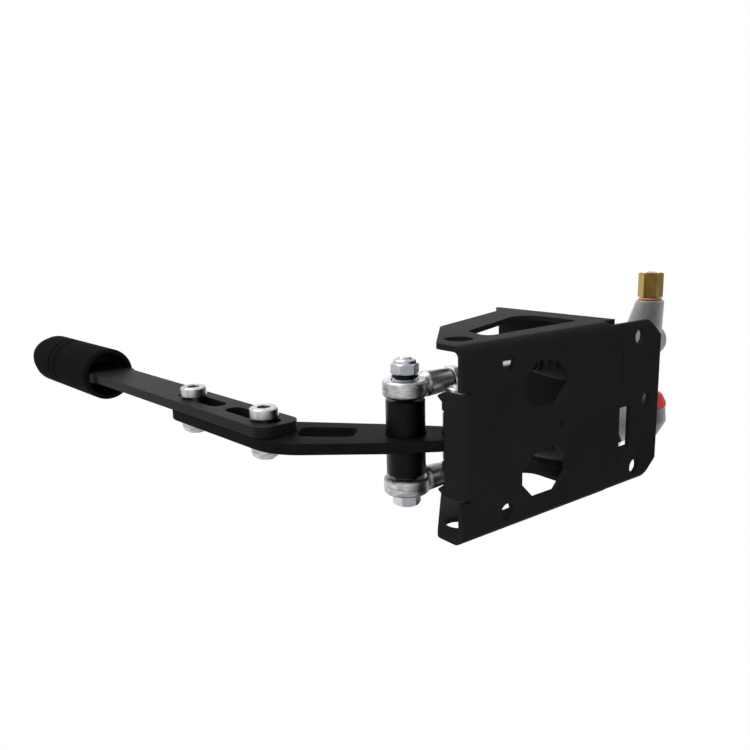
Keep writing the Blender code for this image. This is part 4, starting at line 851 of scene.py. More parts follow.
def base_bracket():
    """Plate, two side flanges and the front tab, folded from one sheet."""
    outer, half = BEND + SHEET, HALF_WIDTH
    past_front, past_rear, fold_end = -PLATE_FRONT - CUT, PLATE_REAR + CUT, -PLATE_FRONT + outer
    fold = range(0, -91, -9)
    section = [(half - SHEET, FLANGE_HEIGHT + CUT), (half, FLANGE_HEIGHT + CUT)]
    section += arc(outer, fold, half - outer, outer)
    section += mirrored(section)
    inner = arc(BEND, reversed(fold), half - outer, outer)
    section += mirrored(inner) + inner
    body = finish("base_bracket", slab([section], -PLATE_FRONT, PLATE_REAR, to_yz), BLACK_COAT, bracket)

    slope_end = (FLANGE_REAR - SLOPE_END[0], FLANGE_HEIGHT - SLOPE_END[1], 6 * MM)
    corner, split = 2 * MM, SHEET + 0.5 * CUT
    side = rounded([(past_front, -CUT, 0), (past_front, 2 * CUT, 0), (-PLATE_FRONT, 2 * CUT, 0),
                    (-PLATE_FRONT, FLANGE_TOE, 6 * MM), (*FLANGE_KNEE, 14 * MM), slope_end,
                    (FLANGE_REAR - corner, FLANGE_HEIGHT, 0), (FLANGE_REAR, FLANGE_HEIGHT - corner, 0),
                    (FLANGE_REAR, RELIEF_HEIGHT, 0), (FLANGE_RELIEF, RELIEF_HEIGHT, 0),
                    (FLANGE_RELIEF, split, 0), (past_rear, split, 0), (past_rear, -CUT, 0)])
    keep(body, finish("side_outline", slab([side], -half - CUT, half + CUT, to_xz)))

    waste = []
    rear, narrow = REAR_WIDTH / 2, REAR_WIDTH / 2 - REAR_CHAMFER[1]
    for sign in (1, -1):
        strip = [(FLANGE_RELIEF, rear), (PLATE_REAR - REAR_CHAMFER[0], rear), (PLATE_REAR, narrow),
                 (past_rear, narrow), (past_rear, half + CUT), (FLANGE_RELIEF, half + CUT)]
        waste.append(slab([[(x, sign * y) for x, y in strip]], -CUT, RELIEF_HEIGHT - GAP))
    notch = FRONT_TAB_WIDTH / 2 + 1.5 * MM
    waste.append(slab([box(past_front, fold_end, -notch, notch)], -CUT, SHEET + CUT))
    cut(body, finish("plate_waste", merge(*waste)))

    foot, reach = fold_end + 8 * MM, FRONT_TAB_WIDTH / 2
    folded = [(foot, 0), (fold_end, 0)]
    folded += [(fold_end - outer * math.sin(RAD(a)), outer - outer * math.cos(RAD(a)))
               for a in range(15, 91, 15)]
    folded += [(-PLATE_FRONT, FRONT_TAB_HEIGHT), (-PLATE_FRONT + SHEET, FRONT_TAB_HEIGHT)]
    folded += [(fold_end - BEND * math.sin(RAD(a)), outer - BEND * math.cos(RAD(a)))
               for a in range(90, -1, -15)]
    folded.append((foot, SHEET))
    join(body, finish("front_tab", slab([folded], -reach, reach, to_xz)))

    rest, shoulder = -FRONT_REST_WIDTH / 2, FRONT_TAB_HEIGHT - 4 * MM
    ear = [(-reach - CUT, FRONT_TAB_HEIGHT + CUT, 0), (-reach - CUT, shoulder, 0), (-reach, shoulder, 0),
           (-reach + 2 * MM, FRONT_TAB_HEIGHT, 0), (rest - 3 * MM, FRONT_TAB_HEIGHT, 0),
           (rest, FRONT_REST_HEIGHT, 3 * MM)]
    tools = [slab([rounded(ear + mirrored(ear))], past_front, fold_end, to_yz)]
    for x in (-HOLE_PITCH_LONG / 2, HOLE_PITCH_LONG / 2):
        for y in (-HOLE_PITCH_WIDE / 2, HOLE_PITCH_WIDE / 2):
            tools.append(moved(rod(MOUNT_HOLE / 2, -CUT, SHEET + CUT), x, y))
    tools.append(moved(rod(MOUNT_HOLE / 2, -CUT, SHEET + CUT), REAR_HOLE_X))
    tools.append(moved(rod(PILOT_HOLE / 2, -CUT, SHEET + CUT, steps=SMALL), PILOT_HOLE_X))
    long, wide, c = WINDOW_LENGTH / 2, WINDOW_WIDTH / 2, WINDOW_CORNER
    eight = [(-long, -wide + c), (-long + c, -wide), (long - c, -wide), (long, -wide + c),
             (long, wide - c), (long - c, wide), (-long + c, wide), (-long, wide - c)]
    for sign in (1, -1):
        tools.append(moved(slab([eight], -CUT, SHEET + CUT), WINDOW_X, sign * WINDOW_Y))
    slits = [box(*SLIT_BOX)]
    slits += [box(WALL_X - GAP, WALL_X + SHEET + GAP, *tab) for tab in (TAB_UPPER, TAB_LOWER)]
    tools += [slab([slit], -CUT, SHEET + CUT) for slit in slits]
    knee_x, knee_z = FLANGE_KNEE
    behind = FLANGE_REAR - SIDE_WINDOW_REAR
    triangle = rounded([(knee_x - 7.2 * MM, 16.5 * MM, 5 * MM), (behind, 19.5 * MM, 5 * MM),
                        (behind + 1.0 * MM, FLANGE_HEIGHT - SIDE_WINDOW_DROP, 12 * MM),
                        (knee_x - 2.2 * MM, knee_z - 24.3 * MM, 5 * MM)])
    access = circle(ACCESS_HOLE / 2, (PIVOT_X, PIVOT_HEIGHT))
    tools += [slab([window], -half - CUT, half + CUT, to_xz) for window in (triangle, access)]
    cut(body, finish("bracket_openings", merge(*tools)))


def rear_wall():
    """Upright plate across the flanges, tabbed through the base plate."""
    half = HALF_WIDTH - SHEET - GAP
    foot, tab_end, corner, crown = SHEET + GAP, GAP, 4 * MM, 6 * MM
    edge = [(-half, RELIEF_HEIGHT, 0), (-half + corner, foot, 0)]
    for y0, y1 in (TAB_UPPER, TAB_LOWER):
        edge += [(y0 + GAP, foot, 0), (y0 + GAP, tab_end, 0), (y1 - GAP, tab_end, 0), (y1 - GAP, foot, 0)]
    edge += [(half - corner, foot, 0), (half, RELIEF_HEIGHT, 0), (half, WALL_TOP, crown),
             (-half, WALL_TOP, crown)]
    holes = []
    for y in SIDES.values():
        holes.append(circle(NOSE_RADIUS + GAP, (y, CYLINDER_HEIGHT)))
        for z in (-FLANGE_BOLT_PITCH / 2, FLANGE_BOLT_PITCH / 2):
            holes.append(circle(M8 + HOLE_PLAY, (y, CYLINDER_HEIGHT + z), SMALL))
    finish("rear_wall", slab([rounded(edge)] + holes, WALL_X, WALL_X + SHEET, to_yz), BLACK_COAT, bracket)


def pivot_cradle():
    """U-shaped seat for the pivot bolt, on the base plate behind the front tab."""
    low = SHEET + GAP - PIVOT_HEIGHT
    outer, half, length = CRADLE_SHEET + BEND, LUG_OUTSIDE, CRADLE_LENGTH / 2
    fold = range(0, -91, -18)
    section = [(half - CRADLE_SHEET, LUG_RADIUS), (half, LUG_RADIUS)]
    section += arc(outer, fold, half - outer, low + outer)
    section += mirrored(section)
    inner = arc(BEND, reversed(fold), half - outer, low + outer)
    section += mirrored(inner) + inner
    body = finish("pivot_cradle", slab([section], -length, length, to_yz), BLACK_COAT, pivot)
    below, above = low - CUT, low + 2 * CRADLE_SHEET
    side = arc(LUG_RADIUS, range(0, 181, 15))
    side += [(-length - CUT, above), (-length - CUT, below), (length + CUT, below), (length + CUT, above)]
    lugs = slab([side, circle(M8 + HOLE_PLAY, steps=SMALL)], -half - CUT, half + CUT, to_xz)
    keep(body, finish("lug_outline", lugs, parent=pivot))


def pivot_fasteners():
    """The pivot bolt and its lock nut, outside the cradle's lugs."""
    head_face, nut_face = LUG_OUTSIDE + GAP, -LUG_OUTSIDE - GAP
    tail = nut_face - M8_LOCKNUT - BOLT_PAST
    head = hex_solid(M8_FLATS, head_face, head_face + M8_HEAD, "Y", chamfer_ends=(False, True))
    shank = threaded_rod(M8 - GAP / 3, tail, head_face + M8_HEAD / 2, "Y")
    bolt = finish("pivot_bolt", head, ZINC, pivot)
    join(bolt, finish("pivot_shank", shank, parent=pivot))
    finish("pivot_nut", lock_nut(nut_face), ZINC, pivot)


base_bracket()
rear_wall()
pivot_cradle()
pivot_fasteners()


def lever_bar():
    """Cranked flat bar from the pivot up to the handle joint."""
    clamp_x, clamp_z = CLAMP_POINT
    lean = math.tan(HANDLE_LEAN)
    half = BAR_WIDTH / 2 / math.cos(HANDLE_LEAN)

    def edge(z, sign, radius):
        return (clamp_x - (z - clamp_z) * lean + sign * half, z, radius)

    top = (clamp_x - CLAMP_PITCH * math.sin(HANDLE_LEAN), clamp_z + CLAMP_PITCH * math.cos(HANDLE_LEAN))
    end = BAR_WIDTH / 2
    outline = arc(BAR_END_RADIUS, range(-126, 43, 14))
    far = rounded([(*outline[-1], 0), (*BAR_BELLY, 60 * MM), edge(BAR_ELBOW_FAR, 1, 14 * MM),
                   edge(top[1], 1, 0)])[1:-1]
    crown = [Vector(top) + Vector((end * math.cos(angle), end * math.sin(angle)))
             for angle in [HANDLE_LEAN + RAD(a) for a in range(0, 181, 20)]]
    near = rounded([edge(top[1], -1, 0), edge(BAR_ELBOW_NEAR, -1, 36 * MM), (*BAR_HEEL, 60 * MM),
                    (*outline[0], 0)])[1:-1]
    outline += far + crown + near
    holes = [circle(SLEEVE_RADIUS + GAP), circle(TUBE_RADIUS + GAP, CROSS_POINT),
             circle(M10 + HOLE_PLAY, CLAMP_POINT, SMALL), circle(M10 + HOLE_PLAY, top, SMALL)]
    slope = RAD(135)
    ahead = Vector((math.cos(slope), math.sin(slope)))
    across = Vector((math.sin(slope), -math.cos(slope)))
    shift, corner = 1.6 * MM, 5 * MM
    pocket = box(0, POCKET_LENGTH, -POCKET_WIDTH / 2 - shift, POCKET_WIDTH / 2 - shift)
    pocket = rounded([(x, y, corner) for x, y in pocket])
    holes.append([ahead * (POCKET_START + point[0]) + across * point[1] for point in pocket])
    low = BAR_SIDE - BAR_THICK / 2
    finish("lever_bar", slab([outline] + holes, low, low + BAR_THICK, to_xz), BLACK_LEVER, pivot)


def pivot_bearing():
    """Welded sleeve with a collared bush pressed into each end."""
    half = LUG_INSIDE - 2 * GAP - BUSH_COLLAR_THICK
    finish("pivot_sleeve", ring(BUSH_RADIUS + GAP, SLEEVE_RADIUS, -half, half, "Y"), BLACK_TUBE, pivot)
    for name, sign in (("lower", 1), ("upper", -1)):
        mouth, face, inside = sign * (half + GAP), sign * (half + GAP + BUSH_COLLAR_THICK), sign * 2.0 * MM
        bush = turned([(inside, M8 + HOLE_PLAY), (inside, BUSH_RADIUS), (mouth, BUSH_RADIUS),
                       (mouth, BUSH_COLLAR), (face, BUSH_COLLAR), (face, M8 + HOLE_PLAY)], "Y", SMALL, True)
        finish("pivot_bush_" + name, bush, BRONZE, pivot)


lever_bar()
pivot_bearing()

cross = seat((CROSS_POINT[0], 0, CROSS_POINT[1]), pivot)


def cross_bolt_group():
    """Tube through the lever bar, with a long bolt that carries a ball at each end."""
    tube = ring(TUBE_BORE, TUBE_RADIUS, -TUBE_HALF, TUBE_HALF, "Y", 0.6 * MM)
    finish("cross_tube", tube, BLACK_TUBE, cross)
    outside = BALL_Y + BALL_WIDTH / 2 + GAP
    washer_out = -outside - WASHER_THICK
    nut_face = washer_out - GAP
    tail = nut_face - M8_LOCKNUT - BOLT_PAST
    head = hex_solid(M8_FLATS, outside, outside + M8_HEAD, "Y", chamfer_ends=(False, True),
                     turn=CROSS_TURN)
    bolt = finish("cross_bolt", head, ZINC, cross)
    shank = threaded_rod(M8 - GAP / 3, tail, outside + M8_HEAD / 2, "Y")
    join(bolt, finish("cross_shank", shank, parent=cross))
    # The washer takes the black tube look as painted shade: it stands for the shadow line under the lock
    # nut.
    washer = ring(M8 + GAP, WASHER_RADIUS - 1 * MM, washer_out, -outside, "Y")
    finish("cross_washer", washer, BLACK_TUBE, cross)
    finish("cross_nut", lock_nut(nut_face, CROSS_TURN), ZINC, cross)
    half, hole = BALL_WIDTH / 2, M8 + GAP
    profile = [(-half, hole)] + ball_zone(BALL_RADIUS, -half, BALL_WIDTH) + [(half, hole)]
    for side, y in SIDES.items():
        finish("rod_end_ball_" + side, turned(profile, "Y", closed=True), STEEL, cross, (0, y, 0))


cross_bolt_group()

handle = seat((CLAMP_POINT[0], 0, CLAMP_POINT[1]), pivot, -HANDLE_LEAN)


def handle_bar():
    """Straight flat bar, slotted for height, with small stops below the grip."""
    half, stop, stop_end = BAR_WIDTH / 2, BAR_WIDTH / 2 + STOP_HEIGHT, STOP_START + STOP_LENGTH
    right = [(half, -HANDLE_FOOT, HANDLE_CORNER), (half, STOP_START, 0), (stop, STOP_START + 1 * MM, 0),
             (stop, stop_end, 0), (half, stop_end, 0), (half, HANDLE_REACH, 2 * MM)]
    width = 2 * (M10 + HOLE_PLAY)
    outlines = [rounded(right + mirrored(right)), slot(SLOT_LENGTH, width, SLOT_LOWER),
                slot(SLOT_LENGTH, width, SLOT_UPPER)]
    finish("handle_bar", slab(outlines, HANDLE_Y - BAR_THICK / 2, HANDLE_Y + BAR_THICK / 2, to_xz),
           BLACK_BAR, handle)


def clamp_fasteners():
    """Two low-head socket screws with nuts, which clamp the two bars."""
    head_face = HANDLE_Y - BAR_THICK / 2 - GAP
    nut_face = BAR_SIDE + BAR_THICK / 2 + GAP
    top, tail = head_face - CLAMP_HEAD, nut_face + M10_NUT + BOLT_PAST
    wide, shank, c = CLAMP_HEAD_RADIUS, M10 - GAP / 3, CLAMP_HEAD_EDGE
    profile = [(top, 0), (top, wide - c), (top + c, wide), (head_face - c, wide), (head_face, wide - c),
               (head_face, shank), (tail, shank), (tail, 0)]
    for name, z in (("lower", 0.0), ("upper", CLAMP_PITCH)):
        screw = finish("clamp_screw_" + name, turned(profile, "Y"), SCREW, handle, (0, 0, z))
        socket = slab([hexagon(CLAMP_SOCKET)], top - CUT, top + 4 * MM, to_xz)
        cut(screw, finish("socket_" + name, socket, parent=handle, location=(0, 0, z)))
        nut = hex_solid(M10_FLATS, nut_face, nut_face + M10_NUT, "Y", M10 + GAP / 3,
                        collars=(0.0, CLAMP_NUT_COLLAR))
        finish("clamp_nut_" + name, nut, ZINC, handle, (0, 0, z))


def grip():
    """Foam sleeve with an open mouth, on a core that holds the end of the bar."""
    start, end, taper = GRIP_START, GRIP_START + GRIP_LENGTH, GRIP_CHAMFER
    outer, inner = GRIP_RADIUS, GRIP_RADIUS - GRIP_WALL
    depth = end - GRIP_CAP
    profile = [(depth, 0), (depth, inner), (start, inner), (start, outer - 2 * MM),
               (start + 0.7 * MM, outer - 0.7 * MM), (start + 2 * MM, outer)]
    for middle in (end - GROOVES[1], end - GROOVES[0]):
        profile += [(middle - 1.5 * MM, outer), (middle - 0.8 * MM, outer - GROOVE_DEPTH),
                    (middle + 0.8 * MM, outer - GROOVE_DEPTH), (middle + 1.5 * MM, outer)]
    profile += [(end - taper, outer), (end - 0.45 * taper, outer - 2.8 * MM),
                (end - 0.1 * taper, outer - 5.2 * MM), (end, outer - 7.5 * MM), (end, 0)]
    finish("grip_sleeve", turned(profile, "Z", FINE), FOAM, handle, (0, HANDLE_Y, 0))
    core = rod(inner - GAP, start + CORE_START, depth - GAP, steps=FINE)
    core = finish("grip_core", core, PLASTIC, handle, (0, HANDLE_Y, 0))
    wide, thick = BAR_WIDTH / 2 + GAP, BAR_THICK / 2 + GAP
    socket = slab([box(-wide, wide, -thick, thick)], start, HANDLE_REACH + GAP)
    cut(core, finish("core_socket", socket, parent=handle, location=(0, HANDLE_Y, 0)))


handle_bar()
clamp_fasteners()
grip()


def pushrod_group(side, y):
    """Rod end, jam nut and pushrod, which swing together on one ball."""
    swing = seat((0, y, 0), cross)
    half, edge, outer = ROD_END_WIDTH / 2, 1.2 * MM, ROD_END_RADIUS
    eye = turned([(-half, 0), (-half, outer - edge), (-half + edge, outer), (half - edge, outer),
                  (half, outer - edge), (half, 0)], "Y")
    body = finish("rod_end_" + side, eye, FORGED, swing)
    shank = turned([(3 * MM, 0), (3 * MM, half - 0.3 * MM), (WASHER_RADIUS + 1 * MM, half - 0.1 * MM),
                    (WASHER_RADIUS + 5.5 * MM, SHANK_ROOT), (SHANK_LENGTH - 1 * MM, SHANK_TIP),
                    (SHANK_LENGTH, SHANK_TIP - 1 * MM), (SHANK_LENGTH, 0)], "X")
    join(body, finish("shank_" + side, shank, parent=swing))
    race = ball_zone(BALL_RADIUS + GAP, -half - GAP, ROD_END_WIDTH + 2 * GAP)
    (first, mouth), (last, far_mouth) = race[0], race[-1]
    race = [(first - CUT, 0), (first - CUT, mouth)] + race + [(last + CUT, far_mouth), (last + CUT, 0)]
    rod_hole = rod(ROD_RADIUS + GAP, ROD_START - GAP, SHANK_LENGTH + CUT, "X", SMALL)
    cut(body, finish("race_" + side, turned(race, "Y"), parent=swing),
        finish("rod_hole_" + side, rod_hole, parent=swing))
    nut_face = SHANK_LENGTH + GAP
    jam_nut = hex_solid(M8_FLATS, nut_face, nut_face + M8_NUT, "X", ROD_RADIUS + GAP)
    finish("jam_nut_" + side, jam_nut, ZINC, swing)
    tip = TIP_X - BALL_X
    straight = tip - 11 * MM
    profile = [(ROD_START, 0), (ROD_START, ROD_RADIUS), (straight, ROD_RADIUS),
               (straight + 1 * MM, ROD_TIP_RADIUS)]
    for k in range(5):
        angle = math.pi / 2 * k / 4
        profile.append((tip - ROD_TIP_RADIUS + ROD_TIP_RADIUS * math.sin(angle),
                        ROD_TIP_RADIUS * math.cos(angle)))
    finish("pushrod_" + side, turned(profile, "X", SMALL), ZINC, swing)


def space_circle(radius, centre, axis, steps=ROUND):
    """A circle in space about the X or the Y axis."""
    x, y, z = centre
    if axis == "X":
        return [(x, u, v) for u, v in circle(radius, (y, z), steps)]
    return [(u, y, v) for u, v in circle(radius, (x, z), steps)]


def casting(side):
    """What both cylinder castings share: nose, mounting flange and barrel."""
    place = seat((0, SIDES[side], CYLINDER_HEIGHT), bracket)
    flange = slab([oval(FLANGE_HUB, FLANGE_EAR, FLANGE_BOLT_PITCH / 2)], FLANGE_X, FLANGE_BACK, to_yz)
    body = finish("cylinder_body_" + side, flange, CAST, place)
    nose, middle = FLANGE_X - NOSE_LENGTH, FLANGE_X + FLANGE_THICK / 2
    barrel = turned([(nose, 0), (nose, NOSE_RADIUS - 1 * MM), (nose + 1 * MM, NOSE_RADIUS),
                     (middle, NOSE_RADIUS), (middle, BARREL_RADIUS), (BARREL_END - 4 * MM, BARREL_RADIUS),
                     (BARREL_END, BARREL_RADIUS - 3 * MM), (BARREL_END, 0)], "X")
    join(body, finish("barrel_" + side, barrel, parent=place))
    return place, body


def bore_tools(side, place):
    """The stepped bore with its snap ring groove, and the two bolt holes."""
    front, end = FLANGE_X - NOSE_LENGTH - CUT, FLANGE_X + BORE_LENGTH
    r, deep = BORE_RADIUS, BORE_RADIUS + RING_GROOVE
    groove = FLANGE_X + RING_AT
    groove_end = groove + RING_THICK + 2 * GAP
    profile = [(front, 0), (front, r), (groove, r), (groove, deep), (groove_end, deep), (groove_end, r),
               (end - 2 * MM, r), (end, r - 2 * MM), (end, 0)]
    tools = [turned(profile, "X")]
    for z in (-FLANGE_BOLT_PITCH / 2, FLANGE_BOLT_PITCH / 2):
        tools.append(moved(rod(M8 + HOLE_PLAY, FLANGE_X - CUT, FLANGE_BACK + CUT, "X", SMALL), 0, 0, z))
    return finish("bore_" + side, merge(*tools), parent=place)


def upper_cylinder():
    """Casting with a leaning outlet boss towards -Y, near its rear end."""
    place, body = casting("upper")
    start, port_at = BARREL_END - CASTING_LAP, (PORT_X, 0, 0)
    tail = turned([(start, 0), (start, BARREL_RADIUS - 3 * MM), (BARREL_END + 2 * MM, TAIL_RADIUS),
                   (TAIL_END - 3 * MM, TAIL_RADIUS), (TAIL_END - 1 * MM, TAIL_RADIUS - 1.6 * MM),
                   (TAIL_END, TAIL_RADIUS - 4 * MM), (TAIL_END, 0)], "X")
    boss = loft([space_circle(BOSS_FOOT_RADIUS - 2 * MM, (BOSS_FOOT_X - 2 * MM, 0, 0), "Y"),
                 space_circle(BOSS_FOOT_RADIUS, (BOSS_FOOT_X, -TAIL_RADIUS + 2 * MM, 0), "Y"),
                 space_circle(BOSS_TOP_RADIUS, (PORT_X, -BOSS_HEIGHT + 1 * MM, 0), "Y"),
                 space_circle(BOSS_TOP_RADIUS - 0.8 * MM, (PORT_X, -BOSS_HEIGHT, 0), "Y")])
    join(body, finish("tail_upper", tail, parent=place), finish("boss_upper", boss, parent=place))
    bore, passage = THREAD_RADIUS + GAP, PORT_PASSAGE
    port = turned([(-BOSS_HEIGHT - CUT, 0), (-BOSS_HEIGHT - CUT, bore), (-BOSS_HEIGHT + PORT_DEPTH, bore),
                   (-BOSS_HEIGHT + PORT_CONE_END, passage), (passage, passage), (passage, 0)], "Y", SMALL)
    cut(body, bore_tools("upper", place), finish("port_upper", moved(port, PORT_X), parent=place))

    washer_low = -BOSS_HEIGHT - GAP
    washer = ring(bore, COPPER_RADIUS, washer_low - COPPER_THICK, washer_low, "Y", 0.3 * MM)
    finish("outlet_washer", washer, COPPER, place, port_at)
    base = washer_low - COPPER_THICK - GAP
    mouth, spigot_end = base - FITTING_HEIGHT, -BOSS_HEIGHT + FITTING_REACH
    nut = hex_solid(FITTING_FLATS, mouth, base, "Y", chamfer_ends=(True, False))
    fitting = finish("outlet_fitting", nut, BRASS, place, port_at)
    spigot = rod(THREAD_RADIUS, base - 2 * MM, spigot_end, "Y", SMALL)
    join(fitting, finish("fitting_spigot", spigot, parent=place, location=port_at))
    bore = turned([(mouth - CUT, 0), (mouth - CUT, FITTING_MOUTH), (base - 5 * MM, FITTING_MOUTH),
                   (base - 3 * MM, FITTING_PASSAGE), (spigot_end + CUT, FITTING_PASSAGE),
                   (spigot_end + CUT, 0)], "Y", SMALL)
    cut(fitting, finish("fitting_bore", bore, parent=place, location=port_at))


def lower_cylinder():
    """Casting with a rounded rear head, whose port is closed by a plastic cap towards -Y."""
    place, body = casting("lower")
    thick, head_at, r = BARREL_RADIUS - 3 * MM, (HEAD_X, 0, 0), HEAD_RADIUS
    neck = loft([space_circle(thick, (BARREL_END - CASTING_LAP, 0, 0), "X"),
                 space_circle(thick, (BARREL_END, 0, 0), "X"),
                 space_circle(NECK_RADIUS, (HEAD_X - r, NECK_SHIFT, 0), "X"),
                 space_circle(NECK_RADIUS, (HEAD_X - 6 * MM, NECK_SHIFT, 0), "X")])
    stub_end = -HEAD_TOP - STUB_LENGTH
    head = turned([(stub_end, 0), (stub_end, STUB_RADIUS), (-HEAD_TOP, STUB_RADIUS),
                   (-HEAD_TOP, r - 1 * MM), (HEAD_TOP, r), (HEAD_TOP + 2 * MM, r - 0.8 * MM),
                   (HEAD_BOTTOM - 1 * MM, r - 5.6 * MM), (HEAD_BOTTOM, r - 7.4 * MM),
                   (HEAD_BOTTOM, 0)], "Y")
    join(body, finish("neck_lower", neck, parent=place),
         finish("head_lower", head, parent=place, location=head_at))
    port = rod(THREAD_RADIUS, stub_end - CUT, HEAD_TOP, "Y", SMALL)
    cut(body, bore_tools("lower", place), finish("port_lower", port, parent=place, location=head_at))

    base, r = -HEAD_TOP - GAP, CAP_RADIUS
    top, depth, inside = base - CAP_HEIGHT, base - STUB_LENGTH, STUB_RADIUS + GAP
    cap = turned([(depth, 0), (depth, inside), (base, inside), (base, r), (base - 2.6 * MM, r),
                  (base - 5 * MM, r - 1.2 * MM), (top + 1.6 * MM, r - 2.8 * MM),
                  (top + 0.4 * MM, r - 4.4 * MM), (top, r - 6.6 * MM), (top, 0)], "Y")
    finish("port_cap", cap, RED, place, head_at)


def cylinder_fasteners():
    """Bolts from the front of the wall, with nuts behind the mounting flanges."""
    head_face, nut_face = WALL_X - GAP, FLANGE_BACK + GAP
    tail = nut_face + M8_NUT + 1.5 * MM
    for side, y in SIDES.items():
        for end, z in (("bottom", -FLANGE_BOLT_PITCH / 2), ("top", FLANGE_BOLT_PITCH / 2)):
            name, place = side + "_" + end, (0, y, CYLINDER_HEIGHT + z)
            head = hex_solid(M8_FLATS, head_face - M8_HEAD, head_face, "X", chamfer_ends=(True, False))
            bolt = finish("cylinder_bolt_" + name, head, ZINC, bracket, place)
            shank = threaded_rod(M8 - GAP / 3, tail, head_face - M8_HEAD / 2, "X")
            join(bolt, finish("bolt_shank_" + name, shank, parent=bracket, location=place))
            nut = hex_solid(M8_FLATS, nut_face, nut_face + M8_NUT, "X", M8 + GAP / 3)
            finish("cylinder_nut_" + name, nut, ZINC, bracket, place)


def snap_ring(side, y):
    """Open ring in the groove of the bore, over a plain retaining washer."""
    outer, inner = BORE_RADIUS + 0.8 * MM, BORE_RADIUS - 1.0 * MM
    span = 360 - 2 * RING_OPENING
    outline = arc(outer, [RING_OPENING + span * k / SMALL for k in range(SMALL + 1)])
    outline += arc(inner, [360 - RING_OPENING - span * k / SMALL for k in range(SMALL + 1)])
    place = (0, y, CYLINDER_HEIGHT)
    open_ring = slab([outline], RING_LOW, RING_LOW + RING_THICK, to_yz)
    finish("snap_ring_" + side, open_ring, STEEL, bracket, place)
    washer = ring(ROD_RADIUS + 1.6 * MM, BORE_RADIUS - GAP, STOP_LOW, STOP_LOW + WASHER_THICK, "X",
                  steps=SMALL)
    finish("stop_washer_" + side, washer, ZINC, bracket, place)


def dust_boot(side, y):
    """Rubber bellows from the casting's nose down to the pushrod."""
    wall, big, small = BOOT_WALL, NOSE_RADIUS + GAP, ROD_RADIUS + GAP
    start = WALL_X - 1.2 * MM
    collar = start - BOOT_COLLAR
    front = collar - 0.5 * MM
    lift = (big - 1.5 * MM - small) / BOOT_FOLDS
    crests = []
    for k in range(BOOT_FOLDS):
        crest = big - 1.0 * MM - lift * k
        crests += [(front - BOOT_PITCH * (k + 0.15), crest - BOOT_FOLD_DEPTH),
                   (front - BOOT_PITCH * (k + 0.6), crest)]
    end = front - BOOT_PITCH * BOOT_FOLDS
    cuff = end - BOOT_CUFF
    outside = [(start, big + wall), (collar, big + wall)]
    outside += [(x, max(r + wall, small + wall)) for x, r in crests]
    outside += [(end, small + wall), (cuff, small + wall), (cuff, small)]
    inside = [(end, small)] + [(x, max(r, small)) for x, r in reversed(crests)]
    inside += [(collar, big), (start, big)]
    bellows = turned(outside + inside, "X", closed=True)
    finish("dust_boot_" + side, bellows, RUBBER, bracket, (0, y, CYLINDER_HEIGHT))


def piston_group(side, y):
    """Piston with its two seals, and the return spring behind it."""
    axis = seat((PISTON_X, y, CYLINDER_HEIGHT), bracket)
    length, r, neck = PISTON_LENGTH, PISTON_RADIUS, SEAL_GROOVE
    stem, stem_end = STEM_RADIUS, length + STEM_LENGTH
    profile = [(SOCKET_DEPTH, 0), (SOCKET_DEPTH - 1.6 * MM, SOCKET_RADIUS - 0.8 * MM), (0, SOCKET_RADIUS),
               (0, r - 0.6 * MM), (0.6 * MM, r), (SEAL_FRONT, r), (SEAL_FRONT, neck), (SEAL_REAR, neck),
               (SEAL_REAR, r), (length, r), (length, stem), (stem_end, stem), (stem_end, 0)]
    finish("piston_" + side, turned(profile, "X", SMALL), STEEL, axis)
    seal = ring(neck + GAP, r, SEAL_FRONT + GAP, SEAL_REAR - GAP, "X", 0.4 * MM, SMALL)
    finish("piston_ring_" + side, seal, RUBBER, axis)
    cup, hole = length + GAP, stem + GAP
    lip, web = cup + CUP_LENGTH, cup + 2 * MM
    seal = turned([(cup, hole), (cup, r - 0.5 * MM), (cup + 1 * MM, r), (lip, r), (lip, r - 1.4 * MM),
                   (web, r - 2.2 * MM), (web, hole)], "X", SMALL, True)
    finish("piston_cup_" + side, seal, RUBBER, axis)

    low = PISTON_X + cup + 2 * MM + GAP + SPRING_WIRE
    high = FLANGE_X + BORE_LENGTH - 2 * GAP - SPRING_WIRE - 0.4 * MM
    sides, per_turn = 10, 40
    count = SPRING_TURNS * per_turn
    coil_radius = SPRING_RADIUS - 0.9 * MM
    rings = []
    for k in range(count + 1):
        t = k / count
        angle = 2 * math.pi * SPRING_TURNS * t
        middle = Vector((low + (high - low) * t, coil_radius * math.cos(angle),
                         coil_radius * math.sin(angle)))
        outward = Vector((0, math.cos(angle), math.sin(angle)))
        rings.append([middle + SPRING_WIRE * (outward * math.cos(2 * math.pi * j / sides)
                      + Vector((1, 0, 0)) * math.sin(2 * math.pi * j / sides)) for j in range(sides)])
    finish("return_spring_" + side, loft(rings), STEEL, bracket, (0, y, CYLINDER_HEIGHT))


for side_name, side_y in SIDES.items():
    pushrod_group(side_name, side_y)
    snap_ring(side_name, side_y)
    dust_boot(side_name, side_y)
    piston_group(side_name, side_y)
upper_cylinder()
lower_cylinder()
cylinder_fasteners()

# Grid and rounds of smoothing for castings and forgings
SOFTENED = {"cylinder_body_upper": (0.6 * MM, 5), "cylinder_body_lower": (0.6 * MM, 5),
            "rod_end_upper": (0.45 * MM, 3), "rod_end_lower": (0.45 * MM, 3)}
carrier = {node: body for body, nodes in frame["record"]["behaviour"]["bodies"].items() for node in nodes}

for node, piece, look in made_pieces:
    piece.name = node + "_surface"
    if node in SOFTENED:
        soften(piece, *SOFTENED[node])
    else:
        ease_edges(piece, EDGES.get(look, SMALL_EDGE))
    piece.data.shade_smooth()
    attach(piece, carrier[node])
    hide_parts(node)


